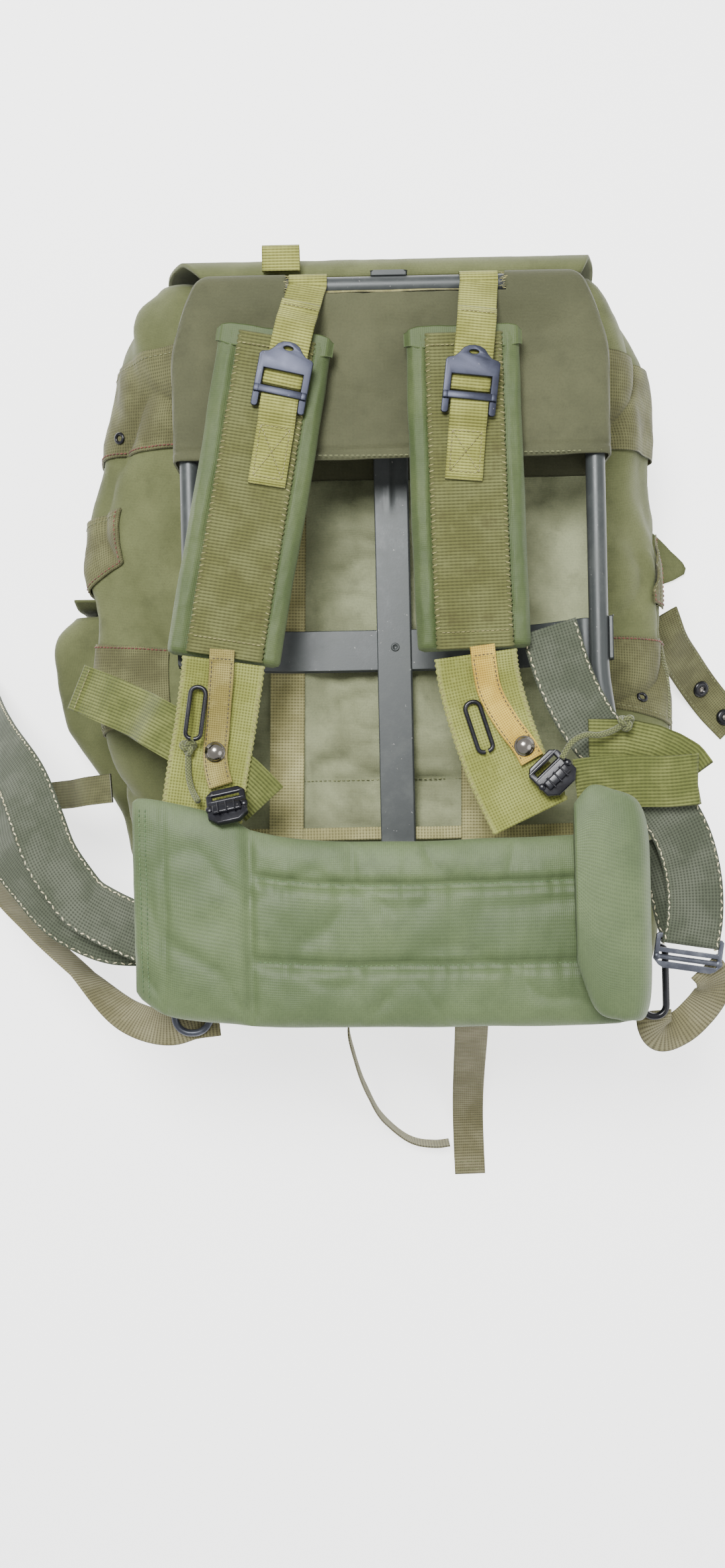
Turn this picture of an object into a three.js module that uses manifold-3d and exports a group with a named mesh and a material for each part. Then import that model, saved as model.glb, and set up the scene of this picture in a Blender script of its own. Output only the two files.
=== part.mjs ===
// Olive field rucksack on a bent tube frame, lying on its pockets with the harness upwards.
// Millimetres. X to the right, Y towards the pack's top, Z up from the floor it lies on.
import * as THREE from "three";
import { mergeVertices } from "three/addons/utils/BufferGeometryUtils.js";
import Module from "manifold-3d";

const wasm = await Module();
wasm.setup();

// frame
const span = 136.5; // half width of the tube loop between its side axes; horizontal shares are of this
const reach = 254; // top edge of the loop above the cross bar's datum; lengthwise shares are of this
const tubeLevel = 205; // height of the tube's axis over the floor; height shares are of this
const frameHeight = 494;
const tubeRadius = 6.5;
const topCorner = 45;
const flareHalfWidth = 158;
const bottomCorner = 42;
const barWidth = 24;
const barThickness = 3;
const crossBarHeight = 29;
const gap = 0.3; // clearance between touching pieces

// cloth and webbing
const clothWall = 1.8;
const bagWall = 2.2;
const webbing = 1.3;
const heavyWebbing = 1.8;
const strapWidth = 25.4;
const padWidth = 75;
const padThickness = 12;
const padWebbingWidth = 50;
const lowerWebbingWidth = 54;
const beltWidth = 38;
const ribbedWidth = 34;
const kidneyThickness = 19;
const cordRadius = 2;

// levels worked out from the frame and the layers that lie on it
const topAxis = reach - tubeRadius;
const bottomAxis = reach - frameHeight + tubeRadius;
const tubeTop = tubeLevel + tubeRadius;
const sleeveTop = tubeTop + 0.4 + clothWall;
const padBottom = sleeveTop + 0.5;
const padTop = padBottom + padThickness;
const padWebbingTop = padTop + gap + heavyWebbing;
const strapLevel = padWebbingTop + gap + webbing / 2;
const buckleWire = 1.6;
const buckleLevel = strapLevel + buckleWire + gap + webbing / 2;
const ribbedLevel = tubeTop + gap + webbing / 2;
const lowerLevel = ribbedLevel + webbing / 2 + gap + heavyWebbing / 2 + 0.2;
const kidneyBottom = lowerLevel + heavyWebbing / 2 + gap + 0.3;
const backLevel = 152;
const crossLevel = backLevel + gap * 2.4 + webbing + barThickness / 2;
const uprightLevel = crossLevel + barThickness + gap;

const group = new THREE.Group();
const up = new THREE.Vector3(0, 0, 1);
const vec = (x, y, z) => new THREE.Vector3(x, y, z);
const at = ([x, y, z]) => vec(x * span, y * reach, z * tubeLevel);

function add(name, geometry, colour, roughness, metalness) {
  const material = new THREE.MeshStandardMaterial({ color: colour, roughness, metalness });
  const mesh = new THREE.Mesh(geometry, material);
  mesh.name = name;
  group.add(mesh);
  return mesh;
}

// one skin from its points and triangles, turned so that its faces look outwards
function indexed(points, triangles) {
  let volume = 0;
  for (let i = 0; i < triangles.length; i += 3) {
    const [a, b, c] = [0, 1, 2].map((k) => points[triangles[i + k]]);
    volume += a.dot(b.clone().cross(c));
  }
  if (volume < 0) triangles.reverse();
  const geometry = new THREE.BufferGeometry();
  geometry.setAttribute("position", new THREE.Float32BufferAttribute(points.flatMap((p) => [p.x, p.y, p.z]), 3));
  geometry.setIndex(triangles);
  return geometry;
}

// a closed skin through rings that all have the same number of points, capped at both ends
function loft(rings) {
  const count = rings[0].length;
  const points = rings.flat();
  const triangles = [];
  for (let r = 0; r < rings.length - 1; r += 1) {
    for (let k = 0; k < count; k += 1) {
      const a = r * count + k;
      const b = r * count + ((k + 1) % count);
      triangles.push(a, b, b + count, a, b + count, a + count);
    }
  }
  for (const [ring, flip] of [[0, true], [rings.length - 1, false]]) {
    const base = ring * count;
    if (count === 4) {
      if (flip) triangles.push(base, base + 2, base + 1, base, base + 3, base + 2);
      else triangles.push(base, base + 1, base + 2, base, base + 2, base + 3);
      continue;
    }
    const centre = rings[ring].reduce((sum, p) => sum.add(p), vec(0, 0, 0)).divideScalar(count);
    points.push(centre);
    for (let k = 0; k < count; k += 1) {
      const a = base + k;
      const b = base + ((k + 1) % count);
      if (flip) triangles.push(points.length - 1, b, a);
      else triangles.push(points.length - 1, a, b);
    }
  }
  return indexed(points, triangles);
}

function smooth(route, samples) {
  const points = new THREE.CatmullRomCurve3(route, false, "centripetal").getSpacedPoints(samples);
  const lowest = Math.min(...route.map((p) => p.z));
  points.forEach((p) => { p.z = Math.max(p.z, lowest); });
  return points;
}

// half a turn in the upright plane through heading, starting at a point
function foldBack(start, heading, radius, rise, steps = 6) {
  const points = [];
  for (let k = 1; k <= steps; k += 1) {
    const angle = (Math.PI * k) / steps;
    const point = start.clone().addScaledVector(heading, radius * Math.sin(angle));
    point.z += rise * radius * (1 - Math.cos(angle));
    points.push(point);
  }
  return points;
}

// a flat strap along points; width and tilt may change along it
function ribbon(points, width, thickness, { tilt = 0, side = null } = {}) {
  const widths = typeof width === "function" ? width : () => width;
  const tilts = typeof tilt === "function" ? tilt : () => tilt;
  const sides = typeof side === "function" ? side : () => side;
  let last = null;
  const rings = points.map((point, i) => {
    const before = points[Math.max(0, i - 1)];
    const after = points[Math.min(points.length - 1, i + 1)];
    const tangent = after.clone().sub(before).normalize();
    let across = up.clone().cross(tangent);
    const share = i / (points.length - 1);
    const fixed = sides(share, i);
    if (fixed) across = fixed.clone();
    else if (across.length() < 0.35 && last) across = last.clone();
    across.addScaledVector(tangent, -across.dot(tangent)).normalize();
    if (last && across.dot(last) < 0) across.negate();
    last = across.clone();
    across.applyAxisAngle(tangent, tilts(share));
    const normal = across.clone().cross(tangent).normalize();
    const w = widths(share) / 2;
    const t = thickness / 2;
    return [[-1, -1], [1, -1], [1, 1], [-1, 1]].map(([a, b]) =>
      point.clone().addScaledVector(across, a * w).addScaledVector(normal, b * t));
  });
  return loft(rings);
}

// round bar or cord along a curve
function rod(points, radius, sides, steps) {
  const outline = new THREE.Shape();
  for (let k = 0; k < sides; k += 1) {
    const angle = (2 * Math.PI * k) / sides;
    const x = radius * Math.cos(angle);
    const y = radius * Math.sin(angle);
    if (k === 0) outline.moveTo(x, y);
    else outline.lineTo(x, y);
  }
  const path = new THREE.CatmullRomCurve3(points, false, "centripetal");
  path.arcLengthDivisions = 1200;
  return new THREE.ExtrudeGeometry(outline, { steps, bevelEnabled: false, extrudePath: path });
}

// straight runs joined by true arcs, as dense points
function rounded(corners, radii) {
  const points = [corners[0]];
  const runTo = (goal) => {
    const from = points[points.length - 1];
    const pieces = Math.max(1, Math.round(from.distanceTo(goal) / 12));
    for (let k = 1; k <= pieces; k += 1) points.push(from.clone().lerp(goal, k / pieces));
  };
  for (let i = 1; i < corners.length - 1; i += 1) {
    const inward = corners[i - 1].clone().sub(corners[i]).normalize();
    const outward = corners[i + 1].clone().sub(corners[i]).normalize();
    const half = inward.angleTo(outward) / 2;
    const setback = radii[i - 1] / Math.tan(half);
    const centre = corners[i].clone().addScaledVector(
      inward.clone().add(outward).normalize(), radii[i - 1] / Math.sin(half));
    const start = corners[i].clone().addScaledVector(inward, setback).sub(centre);
    const end = corners[i].clone().addScaledVector(outward, setback).sub(centre);
    const turn = start.angleTo(end);
    runTo(start.clone().add(centre));
    for (let k = 1; k <= 8; k += 1) {
      const share = k / 8;
      const mixed = start.clone().multiplyScalar(Math.sin((1 - share) * turn))
        .addScaledVector(end, Math.sin(share * turn)).divideScalar(Math.sin(turn));
      points.push(mixed.add(centre));
    }
  }
  runTo(corners[corners.length - 1]);
  return points;
}

function solid(geometry) {
  const bare = new THREE.BufferGeometry();
  bare.setAttribute("position", geometry.getAttribute("position"));
  if (geometry.index) bare.setIndex(geometry.index);
  const merged = mergeVertices(bare, 1e-4);
  return new wasm.Manifold(new wasm.Mesh({
    numProp: 3,
    vertProperties: new Float32Array(merged.getAttribute("position").array),
    triVerts: new Uint32Array(merged.index.array),
  }));
}

function shape(body) {
  const mesh = body.getMesh();
  const geometry = new THREE.BufferGeometry();
  geometry.setAttribute("position", new THREE.BufferAttribute(new Float32Array(mesh.vertProperties), 3));
  geometry.setIndex(new THREE.BufferAttribute(new Uint32Array(mesh.triVerts), 1));
  return geometry;
}

const box = (from, to) => wasm.Manifold.cube([to[0] - from[0], to[1] - from[1], to[2] - from[2]]).translate(from);

const paint = 0x6b6e78;
const steel = 0x474b5e;
const blackened = 0x2b2c38;
const olive = 0x6f7550;
const sleeveBrown = 0x5f5b48;
const padGreen = 0x5f7a50;
const kidneyGreen = 0x6b7b5a;
const khaki = 0x8f8a50;
const strapOlive = 0x7a7a45;
const beltGrey = 0x5c6158;
const bandBrown = 0x645f45;

// tube loop, open by one clearance where its ends butt under the kidney pad
{
  const z = tubeLevel;
  const right = [
    vec(gap / 2, bottomAxis, z),
    vec(flareHalfWidth, bottomAxis, z),
    vec(flareHalfWidth, bottomAxis * 0.72, z),
    vec(span, -0.06 * reach, z),
    vec(span, topAxis, z),
  ];
  const left = right.map((p) => vec(-p.x, p.y, p.z)).reverse();
  const bends = [bottomCorner, 110, 150, topCorner, topCorner, 150, 110, bottomCorner];
  add("frame_tube", rod(rounded([...right, ...left], bends), tubeRadius, 8, 72), paint, 0.5, 0.35);
}

// flat bars, bowed away from the back and hooked round the tube at both ends
function hookedBar(name, ends, level, width, along, side, flat) {
  const grip = tubeRadius + gap + barThickness / 2;
  const profile = [];
  const hook = (axis, sign) => {
    const points = [];
    for (let k = 0; k <= 6; k += 1) {
      const angle = -Math.PI / 2 + (k / 6) * (Math.PI * 0.62);
      points.push([axis + sign * grip * Math.cos(angle), tubeLevel + grip * Math.sin(angle)]);
    }
    return points;
  };
  const rise = tubeLevel - grip;
  profile.push(...hook(ends[0], -1).reverse());
  profile.push([ends[0] + 9, rise], [flat[0], level], [(flat[0] + flat[1]) / 2, level], [flat[1], level]);
  profile.push([ends[1] - 9, rise]);
  profile.push(...hook(ends[1], 1));
  add(name, ribbon(profile.map(([s, z]) => along(s, z)), width, barThickness, { side }), paint, 0.5, 0.35);
}
hookedBar("upright_bar", [bottomAxis, topAxis], uprightLevel, barWidth, (s, z) => vec(0, s, z), vec(1, 0, 0),
  [bottomAxis + 92, reach * 0.49]);
hookedBar("cross_bar", [-span, span], crossLevel, crossBarHeight, (s, z) => vec(s, reach * 0.033, z),
  vec(0, 1, 0), [-span * 0.66, span * 0.66]);

// bag body: shares along, left and right of the loop, belly and back of the back's level
const bagRows = [
  [-1.004, -1.05, 1.05, 0.62, 0.74],
  [-0.985, -1.27, 1.26, 0.5, 0.86],
  [-0.925, -1.4, 1.38, 0.42, 0.95],
  [-0.78, -1.47, 1.44, 0.388, 0.995],
  [-0.59, -1.5, 1.47, 0.388, 1],
  [-0.39, -1.54, 1.51, 0.388, 1],
  [-0.19, -1.6, 1.55, 0.388, 1],
  [0, -1.635, 1.56, 0.388, 1],
  [0.2, -1.665, 1.55, 0.388, 1],
  [0.3, -1.69, 1.545, 0.388, 1],
  [0.43, -1.7, 1.52, 0.06, 1],
  [0.5, -1.67, 1.5, 0.05, 1.003],
  [0.63, -1.6, 1.47, 0.05, 1.07],
  [0.75, -1.555, 1.44, 0.05, 1.145],
  [0.87, -1.52, 1.4, 0.05, 1.215],
  [0.95, -1.47, 1.35, 0.06, 1.24],
  [1.02, -1.39, 1.27, 0.08, 1.235],
  [1.065, -1.3, 1.2, 0.1, 1.2],
];
const bagSides = 28;
const bagY = bagRows.map((row) => row[0] * reach);
function bagAt(y) {
  let i = 0;
  while (i < bagRows.length - 2 && y > bagY[i + 1]) i += 1;
  const share = Math.min(1, Math.max(0, (y - bagY[i]) / (bagY[i + 1] - bagY[i])));
  const mix = (c) => bagRows[i][c] * (1 - share) + bagRows[i + 1][c] * share;
  return { left: -mix(1) * span, right: mix(2) * span, low: mix(3) * backLevel, high: mix(4) * backLevel };
}
const power = (value, exponent) => Math.sign(value) * Math.abs(value) ** exponent;
function skin(y, k, offset, shrinkY = 0) {
  const { left, right, low, high } = bagAt(y);
  const angle = (2 * Math.PI * k) / bagSides;
  const c = Math.cos(angle);
  const s = Math.sin(angle);
  const exponent = s >= 0 ? 0.64 : 0.5;
  const half = c >= 0 ? right : left;
  const x = (half + offset) * power(c, exponent);
  const z = (high + low) / 2 + ((high - low) / 2 + offset) * power(s, exponent);
  return vec(x, y + shrinkY, z);
}
{
  const outer = bagY.map((y) => Array.from({ length: bagSides }, (_, k) => skin(y, k, 0)));
  const inner = bagY.map((y, i) => Array.from({ length: bagSides }, (_, k) =>
    skin(y, k, -bagWall, i === 0 ? bagWall : 0)));
  add("bag_body", loft([...outer, ...inner.reverse()].map((ring) => ring.slice().reverse())), olive, 0.9, 0);
}

// a piece of cloth sewn on the bag's skin, between two angles and two lengthwise edges
function skinPatch(name, from, to, lower, upper, rows = 5, lift = 0.9) {
  const steps = to - from;
  const grid = (offset) => {
    const lines = [];
    for (let r = 0; r <= rows; r += 1) {
      const line = [];
      for (let k = 0; k <= steps; k += 1) {
        const share = k / steps;
        const y0 = lower[0] * (1 - share) + lower[1] * share;
        const y1 = upper[0] * (1 - share) + upper[1] * share;
        line.push(skin((y0 + ((y1 - y0) * r) / rows) * reach, from + k, offset));
      }
      lines.push(line);
    }
    return lines;
  };
  const top = grid(lift + webbing);
  const under = grid(lift);
  const rings = top.map((line, r) => [...line, ...under[r].slice().reverse()]);
  const points = rings.flat();
  const n = steps + 1;
  const m = 2 * n;
  const triangles = [];
  for (let r = 0; r < rows; r += 1) {
    for (let k = 0; k < m; k += 1) {
      const a = r * m + k;
      const b = r * m + ((k + 1) % m);
      triangles.push(a, b, b + m, a, b + m, a + m);
    }
  }
  for (let k = 0; k < steps; k += 1) {
    const a = k;
    const b = k + 1;
    const c = m - 1 - k;
    const d = m - 2 - k;
    triangles.push(a, d, b, a, c, d);
    const base = rows * m;
    triangles.push(base + a, base + b, base + d, base + a, base + d, base + c);
  }
  add(name, indexed(points, triangles), bandBrown, 0.9, 0);
}
skinPatch("side_band_upper_right", 0, 5, [0.6, 0.6], [0.85, 0.86]);
skinPatch("side_band_upper_left", 9, 14, [0.63, 0.62], [0.88, 0.88]);
skinPatch("side_band_lower_right", 0, 4, [-0.2, -0.13], [0.06, 0.07]);
skinPatch("side_band_lower_left", 10, 14, [-0.13, -0.2], [0.06, 0.09]);
skinPatch("side_patch_right", 0, 2, [0.16, 0.17], [0.4, 0.2], 3, 2.2);
skinPatch("side_patch_left", 11, 14, [0.31, 0.2], [0.47, 0.43], 4, 1.8);

// sheets that are straight across: rows of lengthwise share, height share, left and right share
function sheet(name, rows, thickness, colour) {
  const mid = rows.map(([y, z]) => vec(0, y * reach, z * tubeLevel));
  const rings = rows.map(([, , left, right], i) => {
    const tangent = mid[Math.min(mid.length - 1, i + 1)].clone().sub(mid[Math.max(0, i - 1)]).normalize();
    const normal = vec(1, 0, 0).cross(tangent);
    const corner = (x, n) => mid[i].clone().addScaledVector(normal, n * thickness / 2).setX(x * span);
    return [corner(left, -1), corner(right, -1), corner(right, 1), corner(left, 1)];
  });
  add(name, loft(rings), colour, 0.9, 0);
}
sheet("lid", [
  [1.024, 0.936, -0.93, 0.97],
  [1.055, 0.924, -0.98, 1.0],
  [1.092, 0.86, -1.05, 1.03],
  [1.108, 0.7, -1.15, 1.1],
  [1.112, 0.45, -1.2, 1.15],
  [1.104, 0.2, -1.24, 1.2],
  [1.07, 0.04, -1.28, 1.25],
  [1.03, 0.0074, -1.32, 1.28],
  [0.8, 0.0074, -1.42, 1.4],
  [0.55, 0.0074, -1.45, 1.52],
  [0.42, 0.0074, -1.44, 1.74],
  [0.335, 0.0074, -1.42, 1.84],
  [0.275, 0.0074, -1.4, 1.56],
], 3, olive);

// front pockets, open at their tops under the flaps
function pocket(name, rows) {
  const count = 16;
  const ring = ([y, left, right, low, high], inset, shift) => Array.from({ length: count }, (_, k) => {
    const angle = (2 * Math.PI * (k + 0.5)) / count;
    const half = ((right - left) * span) / 2 - inset;
    const x = ((left + right) * span) / 2 + half * power(Math.cos(angle), 0.45);
    const middle = ((low + high) / 2) * backLevel;
    const z = middle + (((high - low) / 2) * backLevel - inset) * power(Math.sin(angle), 0.45);
    return vec(x, y * reach + shift, z);
  });
  const flatten = (points, floor) => points.map((p) => vec(p.x, p.y, Math.abs(p.z - floor) < 3 ? floor : p.z));
  const outer = rows.map((row) => flatten(ring(row, 0, 0), row[3] * backLevel));
  const inner = rows.map((row, i) => ring(row, bagWall, i === 0 ? bagWall : 0));
  add(name, loft([...outer, ...inner.reverse()].map((r) => r.slice().reverse())), olive, 0.9, 0);
}
const floorShare = 2.2 / backLevel;
const pocketHeight = 0.385;
pocket("pocket_left", [
  [-0.81, -1.47, -0.72, 0.04, 0.3],
  [-0.77, -1.5, -0.7, 0, pocketHeight],
  [-0.45, -1.6, -0.7, 0, pocketHeight],
  [-0.3, -1.75, -0.7, 0, pocketHeight],
  [-0.18, -1.9, -0.7, 0, pocketHeight],
  [-0.15, -1.93, -0.7, floorShare, pocketHeight],
  [0.03, -1.99, -0.7, floorShare, pocketHeight],
  [0.14, -1.98, -0.7, floorShare, pocketHeight],
  [0.205, -1.88, -0.72, 0.045, 0.34],
]);
pocket("pocket_center", [
  [-0.81, -0.62, 0.49, 0.04, 0.3],
  [-0.77, -0.66, 0.53, 0, pocketHeight],
  [-0.18, -0.66, 0.53, 0, pocketHeight],
  [-0.15, -0.66, 0.53, floorShare, pocketHeight],
  [0.14, -0.66, 0.53, floorShare, pocketHeight],
  [0.205, -0.64, 0.51, 0.045, 0.34],
]);
pocket("pocket_right", [
  [-0.81, 0.59, 1.38, 0.04, 0.3],
  [-0.77, 0.57, 1.42, 0, pocketHeight],
  [-0.18, 0.57, 1.54, 0, pocketHeight],
  [-0.15, 0.57, 1.54, floorShare, pocketHeight],
  [0.14, 0.57, 1.54, floorShare, pocketHeight],
  [0.205, 0.59, 1.48, 0.045, 0.34],
]);
for (const [name, left, right] of [
  ["pocket_flap_left", -1.84, -0.72],
  ["pocket_flap_center", -0.64, 0.51],
  ["pocket_flap_right", 0.59, 1.46],
]) {
  const level = clothWall / 2 / tubeLevel;
  sheet(name, [
    [0.252, 0.2845, left, right],
    [0.232, 0.22, left, right],
    [0.229, 0.1, left, right],
    [0.222, 0.03, left, right],
    [0.2, level, left, right],
    [0, level, left, right],
    [-0.1, level, left, right],
    [-0.135, level, left + 0.1, right - 0.1],
  ], clothWall, olive);
}

// envelope over the frame's top, with a window where the harness grips the tube
{
  const rows = [
    [0.512, 1.075, 0],
    [0.65, 1.075, 0.12],
    [0.8, 1.072, 0.25],
    [0.905, 1.02, 0.34],
    [0.965, 0.975, 0.385],
    [1.011, 0.93, 0.39],
  ];
  const floor = backLevel + 3.7;
  const tall = (rise) => floor + rise * 94;
  const ring = ([y, half, rise], inset, shift) => {
    const low = tall(rise) + inset;
    const high = sleeveTop - inset;
    const x = half * span - inset;
    const soft = 5;
    const pairs = [
      [-x + soft, low], [x - soft, low], [x, low + soft], [x, high - soft],
      [x - soft * 0.6, high - soft * 0.25], [x - soft * 1.6, high],
      [-x + soft * 1.6, high], [-x + soft * 0.6, high - soft * 0.25], [-x, high - soft], [-x, low + soft],
    ];
    return pairs.map(([px, pz]) => vec(px, y * reach + shift, pz));
  };
  const outer = rows.map((row) => ring(row, 0, 0));
  const inner = rows.map((row, i) => ring(row, clothWall, i === 0 ? -2 : 0));
  inner[inner.length - 1].forEach((p) => { p.y -= clothWall; });
  let body = solid(loft(outer.map((r) => r.slice().reverse())));
  body = body.subtract(solid(loft(inner.map((r) => r.slice().reverse()))));
  body = body.subtract(box([-0.505 * span, 0.946 * reach, tubeLevel - 11], [0.57 * span, 1.05 * reach, 230]));
  add("frame_sleeve", shape(body), sleeveBrown, 0.92, 0);
}

// straps sewn down the back panel and the loop that stands at the top edge
for (const [name, top, bottom] of [
  ["back_webbing_left", -0.53, -0.59],
  ["back_webbing_right", 0.46, 0.42],
]) {
  const z = (backLevel + gap + webbing / 2) / tubeLevel;
  const low = (backLevel * 0.995 + gap + webbing / 2) / tubeLevel;
  const route = [at([top, 0.498, z]), at([(top + bottom) / 2, -0.05, z]), at([bottom, -0.59, z]),
    at([bottom, -0.76, z])];
  route[3].z = low * tubeLevel + 0.6;
  add(name, ribbon(route, strapWidth - 1, webbing, { side: vec(1, 0, 0) }), 0x7d7553, 0.9, 0);
}
{
  const x = -0.53;
  const route = [[x, 1.037, 0.9473], [x, 1.063, 0.9493], [x, 1.089, 0.9532], [x, 1.099, 0.9659],
    [x, 1.089, 0.9785], [x, 1.059, 0.982], [x, 1.028, 0.9815]];
  add("carry_loop", ribbon(route.map(at), strapWidth, heavyWebbing, { side: vec(1, 0, 0) }), khaki, 0.9, 0);
}

// padded slabs swept along a route
function padSlab(points, width, thickness, across) {
  const shapeOf = [
    [-1, 0], [-0.93, -0.62], [-0.74, -1], [0.74, -1], [0.93, -0.62],
    [1, 0], [0.93, 0.62], [0.74, 1], [-0.74, 1], [-0.93, 0.62],
  ];
  const rings = points.map((point, i) => {
    const tangent = points[Math.min(points.length - 1, i + 1)].clone()
      .sub(points[Math.max(0, i - 1)]).normalize();
    const side = across ?? tangent.clone().cross(up).normalize();
    const normal = side.clone().cross(tangent).normalize();
    const end = i === 0 || i === points.length - 1 ? 0.55 : 1;
    return shapeOf.map(([a, b]) => point.clone().addScaledVector(side, (a * width) / 2)
      .addScaledVector(normal, (b * thickness * end) / 2));
  });
  return loft(rings);
}

// shoulder straps: everything that repeats on both sides, from the routes of each side
const padEdge = 0.845 * reach;
const padMiddle = (padBottom + padTop) / 2 / tubeLevel;
const ribbedShare = ribbedLevel / tubeLevel;
const lowerShare = lowerLevel / tubeLevel;
const padFace = (padWebbingTop - heavyWebbing / 2) / tubeLevel;
const shoulders = [
  {
    side: "left",
    pad: [[-0.549, 0.835, padMiddle], [-0.56, 0.799, padMiddle], [-0.663, 0.482, padMiddle],
      [-0.755, 0.236, padMiddle], [-0.832, 0.016, padMiddle], [-0.841, -0.016, padMiddle]],
    face: [[-0.542, 0.815, padFace], [-0.659, 0.482, padFace], [-0.747, 0.236, padFace],
      [-0.829, -0.008, padFace]],
    lower: [[-0.833, -0.018, 1.1063], [-0.844, -0.055, 1.0902], [-0.861, -0.102, 1.0761],
      [-0.897, -0.205, lowerShare], [-0.934, -0.307, lowerShare], [-0.96, -0.394, lowerShare],
      [-0.974, -0.449, lowerShare]],
    tube: -54,
    buckle: [-0.52, 0.689, 0],
    free: 0.905,
    tabEnd: [-0.608, 0.429, 0],
    release: [[-0.834, 0.011, 1.1278], [-0.844, -0.051, 1.1132], [-0.857, -0.106, 1.0937],
      [-0.875, -0.185, 1.0683], [-0.89, -0.26, 1.0634], [-0.883, -0.303, 1.0654], [-0.864, -0.339, 1.0741]],
    clip: [-0.828, -0.388, 1.1268],
    clipTurn: 0.2,
    clipTilt: -35,
    snapIndex: 6,
    hook: [-0.973, -0.15, 1.1024],
    hookTurn: -0.15,
    ribbed: [[-1.67, -0.051, 0.7317], [-1.48, -0.094, 0.839], [-1.304, -0.138, 0.9171],
      [-1.201, -0.167, 1.0146], [-1.114, -0.195, ribbedShare], [-1.026, -0.224, ribbedShare],
      [-0.908, -0.268, ribbedShare], [-0.791, -0.315, ribbedShare], [-0.718, -0.354, ribbedShare],
      [-0.659, -0.39, ribbedShare]],
    cord: [[-1.018, -0.236, 1.0654], [-1.022, -0.276, 1.0615], [-1.02, -0.315, 1.0644], [-1, -0.35, 1.0829],
      [-0.967, -0.378, 1.1146]],
  },
  {
    side: "right",
    pad: [[0.348, 0.835, padMiddle], [0.349, 0.799, padMiddle], [0.355, 0.482, padMiddle],
      [0.363, 0.236, padMiddle], [0.374, 0.031, padMiddle], [0.375, 0, padMiddle]],
    face: [[0.348, 0.815, padFace], [0.355, 0.482, padFace], [0.363, 0.236, padFace], [0.374, 0.001, padFace]],
    lower: [[0.376, -0.013, 1.1063], [0.385, -0.055, 1.0927], [0.403, -0.102, 1.0829],
      [0.454, -0.205, 1.0805], [0.52, -0.307, 1.0805], [0.586, -0.39, 1.0854], [0.626, -0.437, 1.0951]],
    tube: 60,
    buckle: [0.374, 0.669, 0],
    free: 0.875,
    tabEnd: [0.333, 0.433, 0],
    release: [[0.404, 0.008, 1.122], [0.416, -0.043, 1.1122], [0.442, -0.111, 1.0976],
      [0.52, -0.19, 1.0937], [0.607, -0.257, 1.0956], [0.639, -0.289, 1.0966]],
    clip: [0.725, -0.323, 1.1254],
    clipTurn: 0.75,
    clipTilt: -8,
    snapIndex: 7,
    hook: [0.385, -0.201, 1.0956],
    hookTurn: 0.3,
    ribbed: [[0.842, -0.356, 1.1112], [0.908, -0.352, 1.1024], [1.011, -0.35, 1.0878],
      [1.149, -0.35, 1.078], [1.304, -0.352, 1.0683], [1.436, -0.348, 1.0615]],
    cord: [[0.766, -0.287, 1.1512], [0.821, -0.246, 1.1385], [0.886, -0.228, 1.1244],
      [0.96, -0.228, 1.1098], [1.033, -0.217, 1.0951], [1.095, -0.197, 1.0829]],
  },
];

function ladderBuckle(centre, turn) {
  const width = strapWidth + 10;
  const tall = 31;
  const plate = [[-width / 2, -tall / 2], [width / 2, -tall / 2], [width / 2, tall / 2], [12.5, tall / 2 + 1],
    [5, tall / 2 + 9.5], [-5, tall / 2 + 9.5], [-12.5, tall / 2 + 1], [-width / 2, tall / 2]];
  const outline = wasm.CrossSection.ofPolygons([plate]);
  const holes = [
    [[-strapWidth / 2 - 1, -9.5], [strapWidth / 2 + 1, -9.5], [strapWidth / 2 + 1, 10.5],
    [-strapWidth / 2 - 1, 10.5]],
    [[-1.4, tall / 2 + 2], [1.4, tall / 2 + 2], [1.4, tall / 2 + 7], [-1.4, tall / 2 + 7]],
  ];
  let body = outline.subtract(wasm.CrossSection.ofPolygons(holes)).extrude(2).translate([0, 0, -1]);
  const bar = wasm.Manifold.cylinder(strapWidth + 4, buckleWire, buckleWire, 10, true).rotate([0, 90, 0]);
  body = body.add(bar);
  return shape(body.rotate([0, 0, (turn * 180) / Math.PI]).translate([centre.x, centre.y, centre.z]));
}

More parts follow.
